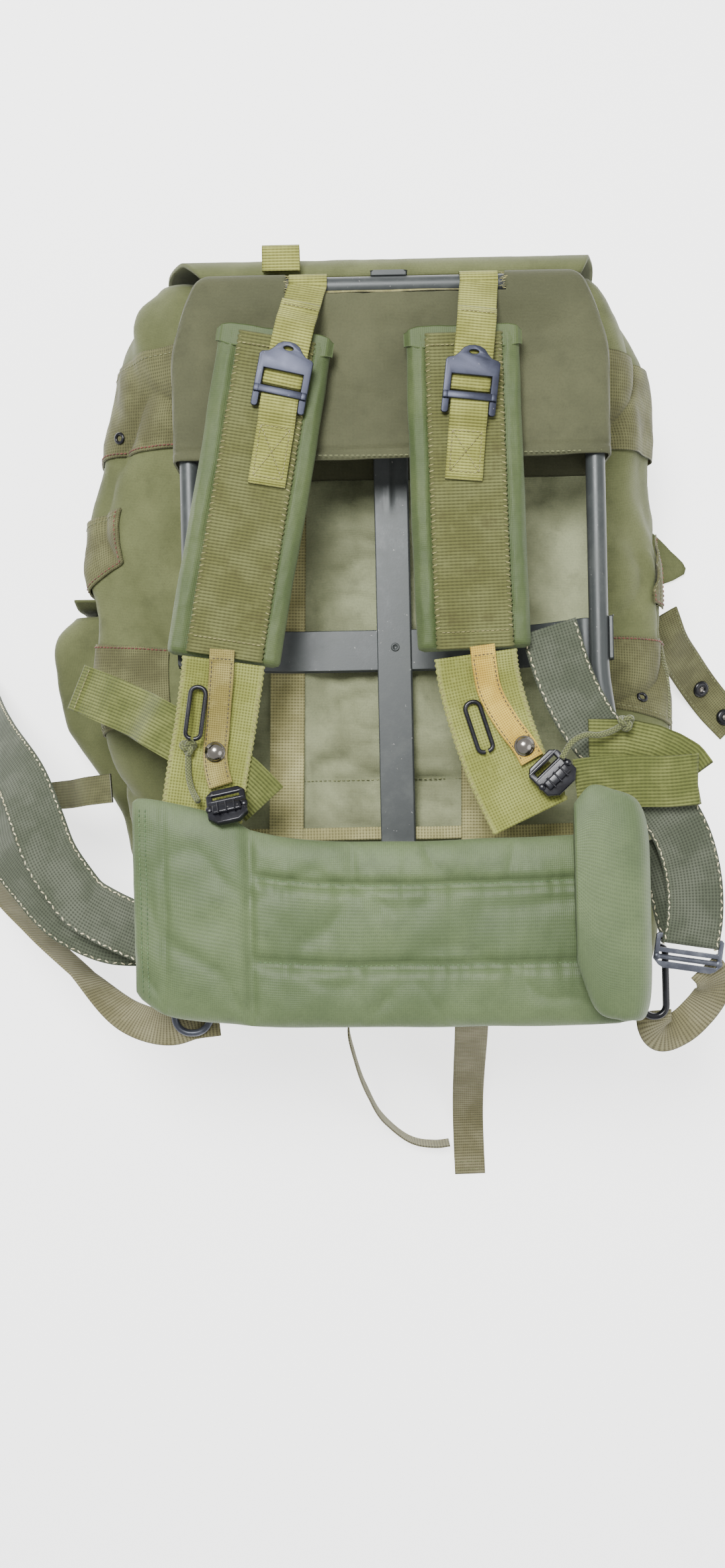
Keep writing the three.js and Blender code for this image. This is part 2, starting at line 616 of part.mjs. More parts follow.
for (const s of shoulders) {
  const webbingSide = (points, samples) => smooth(points.map(at), samples);
  add(`shoulder_pad_${s.side}`, padSlab(s.pad.map(at), padWidth, padThickness), padGreen, 0.75, 0);
  add(`pad_webbing_${s.side}`, ribbon(webbingSide(s.face, 6), padWebbingWidth, heavyWebbing), khaki, 0.9, 0);
  add(`lower_webbing_${s.side}`, ribbon(webbingSide(s.lower, 8), lowerWebbingWidth, heavyWebbing), khaki, 0.9, 0);

  // top strap: from the free end over the buckle's bar, back under it and up round the tube
  const buckle = at(s.buckle).setZ(buckleLevel);
  const heading = vec(s.tube - buckle.x, topAxis - buckle.y, 0);
  const length = heading.length();
  heading.normalize();
  const across = heading.clone().cross(up);
  const along = (d, z) => vec(buckle.x, buckle.y, 0).addScaledVector(heading, d).setZ(z);
  const wrap = buckleWire + gap + webbing / 2;
  const grip = tubeRadius + gap * 2.6 + webbing / 2;
  const flat = (padEdge - buckle.y) / heading.y;
  const lane = [[14, strapLevel], [flat, strapLevel], [length - 22, tubeTop + 10],
    [length - 8.2, tubeTop + 4.2]];
  const laneLevel = (d) => {
    const i = lane.findIndex(([end]) => end > d);
    const [[d0, z0], [d1, z1]] = [lane[i - 1], lane[i]];
    return z0 + ((z1 - z0) * (d - d0)) / (d1 - d0);
  };
  const freeEnd = (s.free * reach - buckle.y) / heading.y;
  const path = [];
  for (const d of [freeEnd, (freeEnd + flat) / 2, flat]) path.push(along(d, laneLevel(d) + 3.4));
  path.push(along(flat * 0.7, strapLevel + 5.2));
  path.push(along(16, buckleLevel + wrap));
  for (let k = 0; k <= 6; k += 1) {
    const angle = Math.PI / 2 + (k / 6) * Math.PI;
    path.push(along(wrap * Math.cos(angle), buckleLevel + wrap * Math.sin(angle)));
  }
  path.push(...lane.map(([d, z]) => along(d, z)));
  const straight = path.length;
  for (let k = 0; k <= 8; k += 1) {
    const angle = Math.PI * 0.56 - (k / 8) * Math.PI * 1.06;
    path.push(vec(s.tube, topAxis + grip * Math.cos(angle), tubeLevel + grip * Math.sin(angle)));
  }
  const facing = (share, i) => (i < straight - 2 ? across : vec(1, 0, 0));
  add(`top_strap_${s.side}`, ribbon(path, strapWidth, webbing, { side: facing }), khaki, 0.9, 0);
  const turn = Math.atan2(-heading.x, heading.y);
  add(`strap_buckle_${s.side}`, ladderBuckle(buckle, turn), steel, 0.4, 0.8);

  // stitched tab that holds the buckle's lower rail
  const tabEnd = at(s.tabEnd);
  const tabHeading = vec(buckle.x, buckle.y, 0).sub(vec(tabEnd.x, tabEnd.y, 0));
  const tabLength = tabHeading.length();
  tabHeading.normalize();
  const tabAt = (d, z) => vec(tabEnd.x, tabEnd.y, 0).addScaledVector(tabHeading, d).setZ(z);
  const rail = tabLength - 12.5;
  const tabPath = [tabAt(0, strapLevel), tabAt(rail - 8, strapLevel), tabAt(rail + 1, strapLevel)];
  const lift = buckleLevel + 1.4 + gap + webbing / 2 - strapLevel;
  for (let k = 1; k <= 5; k += 1) {
    const angle = (Math.PI * k) / 5;
    tabPath.push(tabAt(rail + 1 + 4.2 * Math.sin(angle), strapLevel + (lift * (1 - Math.cos(angle))) / 2));
  }
  tabPath.push(tabAt(rail - 7, strapLevel + lift + 0.2), tabAt(rail - 14, strapLevel + webbing + gap),
    tabAt(1.5, strapLevel + webbing + gap));
  add(`anchor_tab_${s.side}`, ribbon(tabPath, strapWidth - 1, webbing, { side: tabHeading.clone().cross(up) }),
    khaki, 0.9, 0);

  // release tab with its snap
  const tabRoute = webbingSide(s.release, 8);
  add(`release_tab_${s.side}`, ribbon(tabRoute, 16, 2), s.side === "left" ? 0x8a7a45 : 0xb39a58, 0.85, 0);
  const snapAt = tabRoute[s.snapIndex];
  const dome = new THREE.LatheGeometry([[0, 0], [6, 0], [6.4, 1], [5.6, 2.6], [3, 4], [0, 4.4]]
    .map(([x, y]) => new THREE.Vector2(x, y)), 14);
  dome.rotateX(Math.PI / 2);
  dome.translate(snapAt.x, snapAt.y, snapAt.z + 1.6 + gap);
  add(`tab_snap_${s.side}`, dome, 0x8c8a86, 0.25, 0.9);

  // release buckle: a cast body with a raised bridge
  const clip = at(s.clip);
  let body = wasm.CrossSection.ofPolygons([[[-13, -9], [-7, -14], [7, -14], [13, -9], [13, 8], [9, 12],
    [-9, 12], [-13, 8]]])
    .subtract(wasm.CrossSection.ofPolygons([[[-9, 3], [9, 3], [9, 8.5], [-9, 8.5]]]))
    .extrude(5).translate([0, 0, -2.5]);
  body = body.add(box([-10, -8, 2], [10, -1, 5.5]));
  body = body.rotate([s.clipTilt, 0, 0]).rotate([0, 0, (s.clipTurn * 180) / Math.PI]).translate([clip.x, clip.y, clip.z]);
  add(`release_buckle_${s.side}`, shape(body), blackened, 0.35, 0.4);

  // wire hook beside the release tab
  const hook = at(s.hook);
  const wire = rounded([vec(1, -17, 0), vec(5, -17, 0), vec(5, 17, 0), vec(-5, 17, 0), vec(-5, -17, 0), vec(-1, -17, 0)],
    [3.8, 4.5, 4.5, 3.8]).map((p) => p.applyAxisAngle(up, s.hookTurn).add(hook));
  add(`side_hook_${s.side}`, rod(wire, 1.5, 5, 18), blackened, 0.35, 0.6);

  // ribbed lower strap
  const ribbed = webbingSide(s.ribbed, 10);
  if (s.side === "right") {
    const last = ribbed[ribbed.length - 1];
    ribbed.push(...foldBack(last, vec(0.94, 0.34, 0).normalize(), 1.6, -1, 5));
    const back = [[1.385, -0.309, 1.0449], [1.319, -0.287, 1.0449], [1.231, -0.268, 1.0468],
      [1.099, -0.252, 1.0483], [0.923, -0.252, 1.0556]].map(at);
    ribbed.push(...back);
    add("lower_strap_right", ribbon(ribbed, ribbedWidth, webbing, { side: vec(0.06, 1, 0) }), strapOlive, 0.9, 0);
  } else {
    add("lower_strap_left", ribbon(ribbed, ribbedWidth, webbing), strapOlive, 0.9, 0);
  }
  add(`pull_cord_${s.side}`, rod(s.cord.map(at), cordRadius, 8, 12), 0x6d7245, 0.9, 0);
}

// kidney pad: lengthwise top and bottom shares at each station of a path across
{
  const base = kidneyBottom + kidneyThickness / 2;
  const turn = 12.5;
  const foldX = 1.02;
  const rows = [
    [-1.285, -0.375, -0.865, 0.3],
    [-1.26, -0.366, -0.885, 0.55],
    [-1.15, -0.372, -0.925, 0.8],
    [-0.98, -0.395, -0.945, 1],
    [-0.8, -0.428, -0.957, 1],
    [-0.72, -0.455, -0.962, 0.9],
    [-0.4, -0.485, -0.968, 1],
    [0, -0.492, -0.972, 1],
    [0.4, -0.49, -0.975, 1],
    [0.75, -0.485, -0.976, 0.95],
    [foldX, -0.48, -0.974, 0.9],
  ];
  const stations = rows.map(([x, top, bottom, thick]) => ({ x: x * span, z: base, nx: 0, nz: 1, top, bottom, thick }));
  for (const [angle, top, bottom] of [[45, -0.455, -0.965], [90, -0.42, -0.955], [135, -0.39, -0.95]]) {
    const a = (angle * Math.PI) / 180;
    stations.push({
      x: foldX * span + turn * Math.sin(a), z: base + turn * (1 - Math.cos(a)),
      nx: -Math.sin(a), nz: Math.cos(a), top, bottom, thick: 0.8,
    });
  }
  for (const [x, top, bottom, thick] of [[1.0, -0.37, -0.945, 0.75], [0.88, -0.356, -0.915, 0.6],
    [0.8, -0.4, -0.8, 0.4]]) {
    stations.push({ x: x * span, z: base + 2 * turn, nx: 0, nz: -1, top, bottom, thick });
  }
  const profile = [
    [0, 0], [0.03, 0.7], [0.1, 1], [0.19, 1], [0.235, 0.55], [0.28, 1], [0.62, 1], [0.665, 0.55], [0.71, 1],
    [0.9, 1], [0.97, 0.7], [1, 0], [0.97, -0.7], [0.9, -1], [0.5, -1], [0.1, -1], [0.03, -0.7],
  ];
  const rings = stations.map((st, i) => profile.map(([share, height]) => {
    const y = (st.top + (st.bottom - st.top) * share) * reach;
    const plain = i < 6 || i > 11;
    const level = plain && height === 0.55 ? 1 : height;
    const h = (level * kidneyThickness * st.thick) / 2;
    return vec(st.x + st.nx * h, y, st.z + st.nz * h);
  }));
  add("kidney_pad", loft(rings), kidneyGreen, 0.8, 0);
}

// slotted plate buckle for the waist belt, its near rail in the strap's fold
function plateBuckle(foldStart, heading) {
  const half = beltWidth / 2 + 4;
  const outer = [[-half, -11], [half, -11], [half, 7], [half - 5, 12], [-half + 5, 12], [-half, 7]];
  const slot = (low, high) => [[-beltWidth / 2 - 0.8, low], [beltWidth / 2 + 0.8, low],
    [beltWidth / 2 + 0.8, high],
    [-beltWidth / 2 - 0.8, high]];
  const section = wasm.CrossSection.ofPolygons([outer]).subtract(wasm.CrossSection.ofPolygons([slot(-7.5, -1.2)]))
    .subtract(wasm.CrossSection.ofPolygons([slot(2, 8)]));
  const turn = (Math.atan2(-heading.x, heading.y) * 180) / Math.PI;
  const centre = foldStart.clone().addScaledVector(heading, 7.2);
  return shape(section.extrude(2.4).translate([0, 0, -1.2 - 2.3]).rotate([0, 0, turn])
    .translate([centre.x, centre.y, centre.z]));
}

// right waist belt: free end over the frame, down to the buckle, round its rail and back under the pad
{
  const front = [[0.741, 0.061, 1.0439], [0.828, -0.088, 1.041], [0.941, -0.206, 1.038],
    [1.111, -0.311, 1.038], [1.281, -0.406, 1.0302], [1.388, -0.5, 1.0098], [1.44, -0.607, 1],
    [1.443, -0.709, 1], [1.421, -0.78, 1.0015]];
  const back = [[1.425, -0.756, 0.9766], [1.399, -0.709, 0.9678], [1.37, -0.63, 0.9561],
    [1.326, -0.551, 0.9512], [1.282, -0.5, 0.9512]];
  const down = smooth(front.map(at), 18);
  const last = down[down.length - 1];
  const heading = vec(-0.16, -1, 0).normalize();
  const fold = foldBack(last, heading, 2.3, -1, 5);
  add("waist_belt_right", ribbon([...down, ...fold, ...smooth(back.map(at), 9)], beltWidth, webbing), beltGrey, 0.85, 0);
  add("belt_buckle_right", plateBuckle(last, heading), 0x5d616c, 0.4, 0.8);
  const anchor = [[1.253, -0.969, 0.9424], [1.26, -1.008, 0.9317], [1.304, -1.039, 0.8976],
    [1.407, -1.031, 0.8585], [1.516, -0.98, 0.8634], [1.564, -0.921, 0.9073], [1.538, -0.874, 0.961],
    [1.495, -0.846, 0.9785]];
  add("belt_anchor_strap_right", ribbon(smooth(anchor.map(at), 12), 24, webbing), strapOlive, 0.9, 0);
}
// left waist belt: both strands leave the pad's end and drop to a buckle on the floor
{
  const front = [[-1.026, -0.76, 1.038], [-1.121, -0.748, 1.0376], [-1.223, -0.732, 1.0361],
    [-1.341, -0.709, 1.0146], [-1.48, -0.677, 0.9756], [-1.582, -0.646, 0.9512], [-1.67, -0.594, 0.922],
    [-1.773, -0.52, 0.8829], [-1.861, -0.417, 0.8341], [-1.963, -0.315, 0.7561], [-2.198, -0.189, 0.5366],
    [-2.381, -0.094, 0.2927], [-2.527, -0.008, 0.1073], [-2.608, 0.039, 0.039], [-2.637, 0.059, 0.0341]];
  const back = [[-2.615, 0, 0.0117], [-2.549, -0.079, 0.0146], [-2.447, -0.173, 0.0683],
    [-2.33, -0.291, 0.2439], [-2.212, -0.402, 0.4585], [-2.081, -0.504, 0.6585], [-1.89, -0.598, 0.7902],
    [-1.7, -0.685, 0.8683], [-1.465, -0.74, 0.9073], [-1.253, -0.748, 0.9171]];
  const down = smooth(front.map(at), 20);
  const last = down[down.length - 1];
  const heading = vec(-0.62, 0.78, 0).normalize();
  const fold = foldBack(last, heading, 2.3, -1, 5);
  add("waist_belt_left", ribbon([...down, ...fold, ...smooth(back.map(at), 18)], beltWidth, webbing), beltGrey, 0.85, 0);
  add("belt_buckle_left", plateBuckle(last, heading), 0x5d616c, 0.4, 0.8);
  const anchor = [[-0.923, -0.965, 0.9366], [-1.048, -0.972, 0.9361], [-1.172, -0.992, 0.9122],
    [-1.407, -0.972, 0.8195], [-1.7, -0.862, 0.6927], [-1.993, -0.756, 0.5463], [-2.308, -0.622, 0.361],
    [-2.535, -0.433, 0.1463], [-2.674, -0.236, 0.0644], [-2.74, -0.087, 0.0644]];
  const lean = (share) => 1.35 * Math.min(1, Math.max(0, share * 4.5 - 0.35));
  add("belt_anchor_strap_left", ribbon(smooth(anchor.map(at), 20), 24, webbing, { tilt: lean }), strapOlive, 0.9, 0);
}

// corner loops on the tube's lower bends
{
  const left = rounded([vec(-8, 0, 0), vec(-12, -2, 0), vec(-12, -26, 0), vec(12, -26, 0), vec(12, -2, 0), vec(8, 0, 0)],
    [3, 11, 11, 3]).map((p) => p.add(vec(-143.5, -228, 195.4)));
  add("corner_loop_left", rod(left, 2.4, 6, 24), paint, 0.45, 0.6);
  const right = rounded([vec(-3, 2, 0), vec(-8, 0, 0), vec(-8, -46, 0), vec(8, -46, 0), vec(8, 0, 0), vec(3, 2, 0)],
    [3, 7.5, 7.5, 3]).map((p) => p.add(vec(170.7, -203, 196.7)));
  add("corner_loop_right", rod(right, 2.4, 6, 26), blackened, 0.4, 0.6);
}

// straps that fall from the bag to the floor
{
  const tail = [[0.381, -1.014, 0.5463], [0.396, -1.047, 0.5171], [0.407, -1.122, 0.4098],
    [0.418, -1.252, 0.2146], [0.425, -1.378, 0.0683], [0.429, -1.465, 0.0107], [0.432, -1.555, 0.0032],
    [0.436, -1.646, 0.0032]];
  add("bottom_strap", ribbon(smooth(tail.map(at), 16), strapWidth, webbing, { side: vec(1, 0, 0) }), 0x6f6a4c, 0.9, 0);
  const bight = [[-0.271, -1.016, 0.5073], [-0.286, -1.071, 0.4878], [-0.256, -1.181, 0.3805],
    [-0.19, -1.319, 0.2146], [-0.088, -1.441, 0.0878], [0.073, -1.52, 0.0478], [0.22, -1.535, 0.0468],
    [0.308, -1.531, 0.0468]];
  add("bottom_loop_strap", ribbon(smooth(bight.map(at), 18), 19, webbing, { tilt: Math.PI / 2 }), 0x6f6a4c, 0.9, 0);
  const snaps = [[1.577, 0.165, 0.2805], [1.652, 0.094, 0.2195], [1.78, 0.024, 0.1171],
    [1.919, -0.055, 0.0293], [2.022, -0.118, 0.0044], [2.125, -0.177, 0.0044]];
  const snapRoute = smooth(snaps.map(at), 12);
  add("snap_strap", ribbon(snapRoute, 31, heavyWebbing), bandBrown, 0.9, 0);
  for (const [name, index, rise] of [["snap_socket_upper", 8, 2.1], ["snap_socket_lower", 11, 1.4]]) {
    const p = snapRoute[index];
    const ahead = snapRoute[index + 1].clone().sub(snapRoute[index - 1]).normalize();
    const normal = up.clone().cross(ahead).normalize().cross(ahead).negate().normalize();
    const socket = new THREE.LatheGeometry([[0, 0], [7, 0], [7, 0.8], [5.6, 2.2], [3.2, 2.2], [2.4, 1.2],
      [0, 1.2]]
      .map(([x, y]) => new THREE.Vector2(x, y)), 14);
    socket.applyQuaternion(new THREE.Quaternion().setFromUnitVectors(vec(0, 1, 0), normal));
    socket.translate(p.x + normal.x * rise, p.y + normal.y * rise, p.z + normal.z * rise);
    add(name, socket, 0x8c8a86, 0.3, 0.9);
  }
  const edge = [[-1.569, -0.339, 0.5171], [-1.729, -0.346, 0.4488], [-1.846, -0.354, 0.3707],
    [-1.963, -0.358, 0.2927], [-2.066, -0.362, 0.2244]];
  add("side_strap_left", ribbon(smooth(edge.map(at), 7), 22, webbing, { side: vec(0, 1, 0) }), bandBrown, 0.9, 0);
}

export default group;
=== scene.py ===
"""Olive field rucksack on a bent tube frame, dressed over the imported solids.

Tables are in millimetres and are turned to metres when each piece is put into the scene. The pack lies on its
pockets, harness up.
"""

import math

import bmesh
import bpy
from mathutils import Matrix, Vector, noise


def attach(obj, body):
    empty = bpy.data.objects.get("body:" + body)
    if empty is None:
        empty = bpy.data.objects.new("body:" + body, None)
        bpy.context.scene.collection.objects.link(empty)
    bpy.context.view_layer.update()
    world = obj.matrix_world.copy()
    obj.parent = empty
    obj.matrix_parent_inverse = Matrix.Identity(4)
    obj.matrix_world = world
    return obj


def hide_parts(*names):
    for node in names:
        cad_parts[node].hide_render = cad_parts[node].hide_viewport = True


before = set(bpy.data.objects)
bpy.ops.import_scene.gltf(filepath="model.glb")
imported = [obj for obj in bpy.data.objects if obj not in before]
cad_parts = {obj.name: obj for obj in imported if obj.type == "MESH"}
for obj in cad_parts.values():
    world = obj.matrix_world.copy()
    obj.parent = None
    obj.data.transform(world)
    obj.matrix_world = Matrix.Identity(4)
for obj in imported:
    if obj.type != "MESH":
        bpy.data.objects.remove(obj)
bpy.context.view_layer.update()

bl_info = {
    "name": "Field Rucksack",
    "version": (1, 0, 0),
    "blender": (4, 5, 0),
    "location": "3D View > Sidebar > Rucksack",
    "description": "Builds an olive rucksack with its tube frame, harness, hip pad and belt",
    "category": "Object",
}

MM = 0.001
# where the photo was taken from, in metres, and how far the pack lies turned in it, in degrees
PHOTO_SPOT = (-0.0245, -0.0869)
PHOTO_TURN = -1.2
SENSOR_WIDTH = 36.0
ROOM_LIGHT = 0.72
FLOOR_GLOW = 1.9
# name, place and target in metres, width in metres and power in watts
LIGHTS = (("overhead softbox", (-0.35, 0.65, 1.9), (0, 0, 0.1), 0.8, 62),
          ("side fill", (1.3, -0.4, 1.3), (0, 0, 0.1), 1.2, 9))
UP = Vector((0, 0, 1))
RIGHT = Vector((1, 0, 0))
ALONG = Vector((0, 1, 0))

# frame, in millimetres, as in the solids
SPAN = 136.5
REACH = 254.0
TUBE_LEVEL = 205.0
TUBE_RADIUS = 6.5
TOP_AXIS = REACH - TUBE_RADIUS
BOTTOM_AXIS = REACH - 494 + TUBE_RADIUS
TUBE_TOP = TUBE_LEVEL + TUBE_RADIUS
GAP = 0.3
BACK_LEVEL = 152.0
CROSS_LEVEL = BACK_LEVEL + GAP * 2.4 + 1.3 + 1.5
UPRIGHT_LEVEL = CROSS_LEVEL + 3.3
SLEEVE_TOP = TUBE_TOP + 2.2
PAD_BOTTOM = SLEEVE_TOP + 0.5
PAD_TOP = PAD_BOTTOM + 12
PAD_WEBBING_TOP = PAD_TOP + 2.1
STRAP_LEVEL = PAD_WEBBING_TOP + 0.95
WIRE = 1.6
BUCKLE_LEVEL = STRAP_LEVEL + WIRE + 0.95
RIBBED_LEVEL = TUBE_TOP + 0.95
LOWER_LEVEL = RIBBED_LEVEL + 2.05
KIDNEY_BOTTOM = LOWER_LEVEL + 1.5
WEBBING = 1.3
HEAVY = 1.8
STRAP_WIDTH = 25.4


def place_mm(x, y, z):
    """A place in metres from millimetres."""
    return Vector((x, y, z)) * MM


def linear(code):
    """An sRGB hex colour as a shader socket takes it; a colour picked in the panel is linear already."""
    if not isinstance(code, str):
        return tuple(code) + (1.0,)
    parts = [int(code[i : i + 2], 16) / 255 for i in (1, 3, 5)]
    return tuple(c / 12.92 if c <= 0.04045 else ((c + 0.055) / 1.055) ** 2.4 for c in parts) + (1.0,)


def ease(value, low, high):
    """0 under low, 1 over high and a smooth step between."""
    share = min(1.0, max(0.0, (value - low) / (high - low)))
    return share * share * (3 - 2 * share)


def crumple(x, y, z, size, seed=0.0):
    """Smooth noise from -1 to 1 over millimetres."""
    return noise.noise(Vector((x / size + seed, y / size - seed, z / size + seed * 0.5)))


def folds(x, y, z, size, seed=0.0):
    """Rounded ridges with sharp valleys between them, from -1 in a valley to 0."""
    return -max(0.0, 1 - 2 * abs(crumple(x, y, z, size, seed))) ** 4


# routes


def smooth(route, per_piece=14):
    """Centripetal curve through a route in millimetres, never under the route's lowest point."""
    points = [Vector(p) for p in route]
    lowest = min(p.z for p in points)
    ends = [2 * points[0] - points[1], *points, 2 * points[-1] - points[-2]]
    out = []
    for i in range(1, len(ends) - 2):
        a, b, c, d = ends[i - 1 : i + 3]
        u, v, w = (max(1e-4, (q - p).length ** 0.5) for p, q in ((a, b), (b, c), (c, d)))
        leave = ((b - a) / u - (c - a) / (u + v) + (c - b) / v) * v
        reach = ((c - b) / v - (d - b) / (v + w) + (d - c) / w) * v
        for k in range(per_piece):
            t = k / per_piece
            out.append(b + leave * t + (3 * (c - b) - 2 * leave - reach) * t * t
                       + (2 * (b - c) + leave + reach) * t**3)
    out.append(points[-1])
    for p in out:
        p.z = max(p.z, lowest)
    return out


def fold_back(start, heading, radius, rise):
    """A strap's half turn at its end, up for a rise of 1 and down for -1."""
    steps = 12
    out = []
    for k in range(1, steps + 1):
        angle = math.pi * k / steps
        point = start + heading * radius * math.sin(angle)
        point.z += rise * radius * (1 - math.cos(angle))
        out.append(point)
    return out


def rounded(corners, radii, steps=14):
    """Straight runs joined by true arcs."""
    out = [Vector(corners[0])]
    for i in range(1, len(corners) - 1):
        corner = Vector(corners[i])
        inward = (Vector(corners[i - 1]) - corner).normalized()
        outward = (Vector(corners[i + 1]) - corner).normalized()
        half = inward.angle(outward) / 2
        setback = radii[i - 1] / math.tan(half)
        centre = corner + (inward + outward).normalized() * radii[i - 1] / math.sin(half)
        start = corner + inward * setback - centre
        end = corner + outward * setback - centre
        turn = start.angle(end)
        for k in range(steps + 1):
            t = k / steps
            out.append((start * math.sin((1 - t) * turn) + end * math.sin(t * turn)) / math.sin(turn)
                       + centre)
    out.append(Vector(corners[-1]))
    return out


class Route:
    """A centreline with the directions along it, across it and out of its face, at even steps."""

    def __init__(self, points, side=None, tilt=None, face=1, step=1.5):
        points = [Vector(p) for p in points]
        run = [0.0]
        for a, b in zip(points, points[1:]):
            run.append(run[-1] + (b - a).length)
        self.length = run[-1]
        count = max(4, round(self.length / step))
        spots, owners = [], []
        i = 0
        for k in range(count + 1):
            goal = self.length * k / count
            while i < len(run) - 2 and run[i + 1] < goal:
                i += 1
            share = (goal - run[i]) / max(1e-9, run[i + 1] - run[i])
            spots.append(points[i].lerp(points[i + 1], share))
            owners.append(i + share)
        self.count = count
        self.rows = []
        last = None
        for k, spot in enumerate(spots):
            tangent = (spots[min(k + 1, count)] - spots[max(k - 1, 0)]).normalized()
            across = UP.cross(tangent)
            fixed = side(k / count, owners[k] / (len(points) - 1)) if callable(side) else side
            if fixed is not None:
                across = Vector(fixed)
            elif across.length < 0.35 and last is not None:
                across = last.copy()
            across = (across - tangent * across.dot(tangent)).normalized()
            if last is not None and across.dot(last) < 0:
                across.negate()
            last = across.copy()
            if tilt:
                across = Matrix.Rotation(tilt(k / count), 3, tangent) @ across
            self.rows.append((spot, tangent, across, tangent.cross(across).normalized() * face))

    def axes(self, along):
        """Point, tangent, across and outward at a run in millimetres."""
        share = min(1.0, max(0.0, along / self.length)) * self.count
        i = min(self.count - 1, int(share))
        a, b = self.rows[i], self.rows[i + 1]
        t = share - i
        point = a[0].lerp(b[0], t)
        return (point, *((a[n].lerp(b[n], t)).normalized() for n in (1, 2, 3)))

    def at(self, along, aside=0.0, lift=0.0):
        """The point at a run, moved across the strap and off its face."""
        point, _, across, out = self.axes(along)
        return point + across * aside + out * lift


def facing_up(points, along, **settings):
    """A route whose outward face looks up at a run in millimetres; under 1 it is a share of the length."""
    route = Route(points, **settings)
    if route.axes(along if along > 1 else along * route.length)[3].z < 0:
        route = Route(points, face=-1, **settings)
    return route


# meshes


def finish_piece(name, made, materials, replaces=(), sharp=None):
    """Puts a bmesh in millimetres into the scene as a piece of the pack, in metres."""
    bmesh.ops.scale(made, vec=(MM, MM, MM), verts=made.verts)
    mesh = bpy.data.meshes.new(name)
    made.to_mesh(mesh)
    made.free()
    for polygon in mesh.polygons:
        polygon.use_smooth = True
    if sharp is not None:
        mesh.set_sharp_from_angle(angle=math.radians(sharp))
    for material in materials if isinstance(materials, (list, tuple)) else [materials]:
        mesh.materials.append(material)
    piece = bpy.data.objects.new(name, mesh)
    bpy.context.scene.collection.objects.link(piece)
    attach(piece, "root")
    if replaces:
        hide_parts(*([replaces] if isinstance(replaces, str) else replaces))
    return piece


def cloth_grid(columns, rows, place, size=None, closed=False, capped=False):
    """A grid of cloth whose every vertex place(s, t) lays, with its real size kept as a map in metres."""
    made = bmesh.new()
    metres = made.loops.layers.uv.new("cloth")
    share = made.loops.layers.uv.new("share")
    bmesh.ops.create_grid(made, x_segments=columns, y_segments=rows, size=0.5)
    spots = {v: (v.co.x + 0.5, v.co.y + 0.5) for v in made.verts}
    if size is None:
        mid = [Vector(place(0.5, k / 12)) for k in range(13)]
        long = sum((b - a).length for a, b in zip(mid, mid[1:]))
        ring = [Vector(place(k / 24, 0.5)) for k in range(25)]
        size = (sum((b - a).length for a, b in zip(ring, ring[1:])), long)
    for face in made.faces:
        for loop in face.loops:
            s, t = spots[loop.vert]
            loop[metres].uv = (s * size[0] * MM, t * size[1] * MM)
            loop[share].uv = (s, t)
    for vert, (s, t) in spots.items():
        vert.co = place(s, t)
    if closed:
        bmesh.ops.remove_doubles(made, verts=made.verts, dist=0.01)
    made.normal_update()
    if capped:
        rims = [e for e in made.edges if e.is_boundary]
        bmesh.ops.holes_fill(made, edges=rims, sides=0)
    return made


def thicken(made, wall):
    """Gives a sheet its thickness, inwards from its outer face."""
    made.normal_update()
    kept = made.faces[:]
    under = {v: v.normal.copy() for v in made.verts}
    bmesh.ops.extrude_face_region(made, geom=kept + made.edges[:], use_keep_orig=True)
    bmesh.ops.reverse_faces(made, faces=kept)
    for vert, normal in under.items():
        vert.co -= normal * wall
    return made


def strap_mesh(route, width, thick, columns=12, swell=None, shift=None, step=1.6):
    """A woven strap: a grid laid along a route, then given its thickness."""
    widths = width if callable(width) else (lambda t: width)
    rows = max(6, round(route.length / step))

    def place(s, t):
        along = t * route.length
        aside = (s - 0.5) * widths(t)
        lift = thick / 2
        if swell:
            lift += swell(s, t, along, aside)
        if shift:
            aside += shift(s, t, along, aside)
        return route.at(along, aside, lift)

    made = cloth_grid(columns, rows, place, size=(widths(0.5), route.length))
    middle = route.axes(route.length / 2)[3]
    near = min(made.faces,
               key=lambda f: (f.calc_center_median() - route.at(route.length / 2, 0, thick / 2)).length)
    if near.normal.dot(middle) < 0:
        bmesh.ops.reverse_faces(made, faces=made.faces)
    return thicken(made, thick)


def rod_mesh(points, radius, sides=16, step=2.0):
    """Round bar along points: a grid laid round the line and welded, with its ends filled."""
    route = Route(points, step=step)
    radii = radius if callable(radius) else (lambda t: radius)
    rows = max(6, round(route.length / step))

    def place(s, t):
        point, _, across, out = route.axes(t * route.length)
        angle = 2 * math.pi * s
        return point + (across * math.cos(angle) + out * math.sin(angle)) * radii(t)

    made = cloth_grid(sides, rows, place, size=(2 * math.pi * radii(0.5), route.length), closed=True,
                      capped=True)
    bmesh.ops.recalc_face_normals(made, faces=made.faces)
    return made


def join_into(target, other):
    """Adds another bmesh to a bmesh, and frees it."""
    mesh = bpy.data.meshes.new("passing")
    other.to_mesh(mesh)
    other.free()
    target.from_mesh(mesh)
    bpy.data.meshes.remove(mesh)
    return target


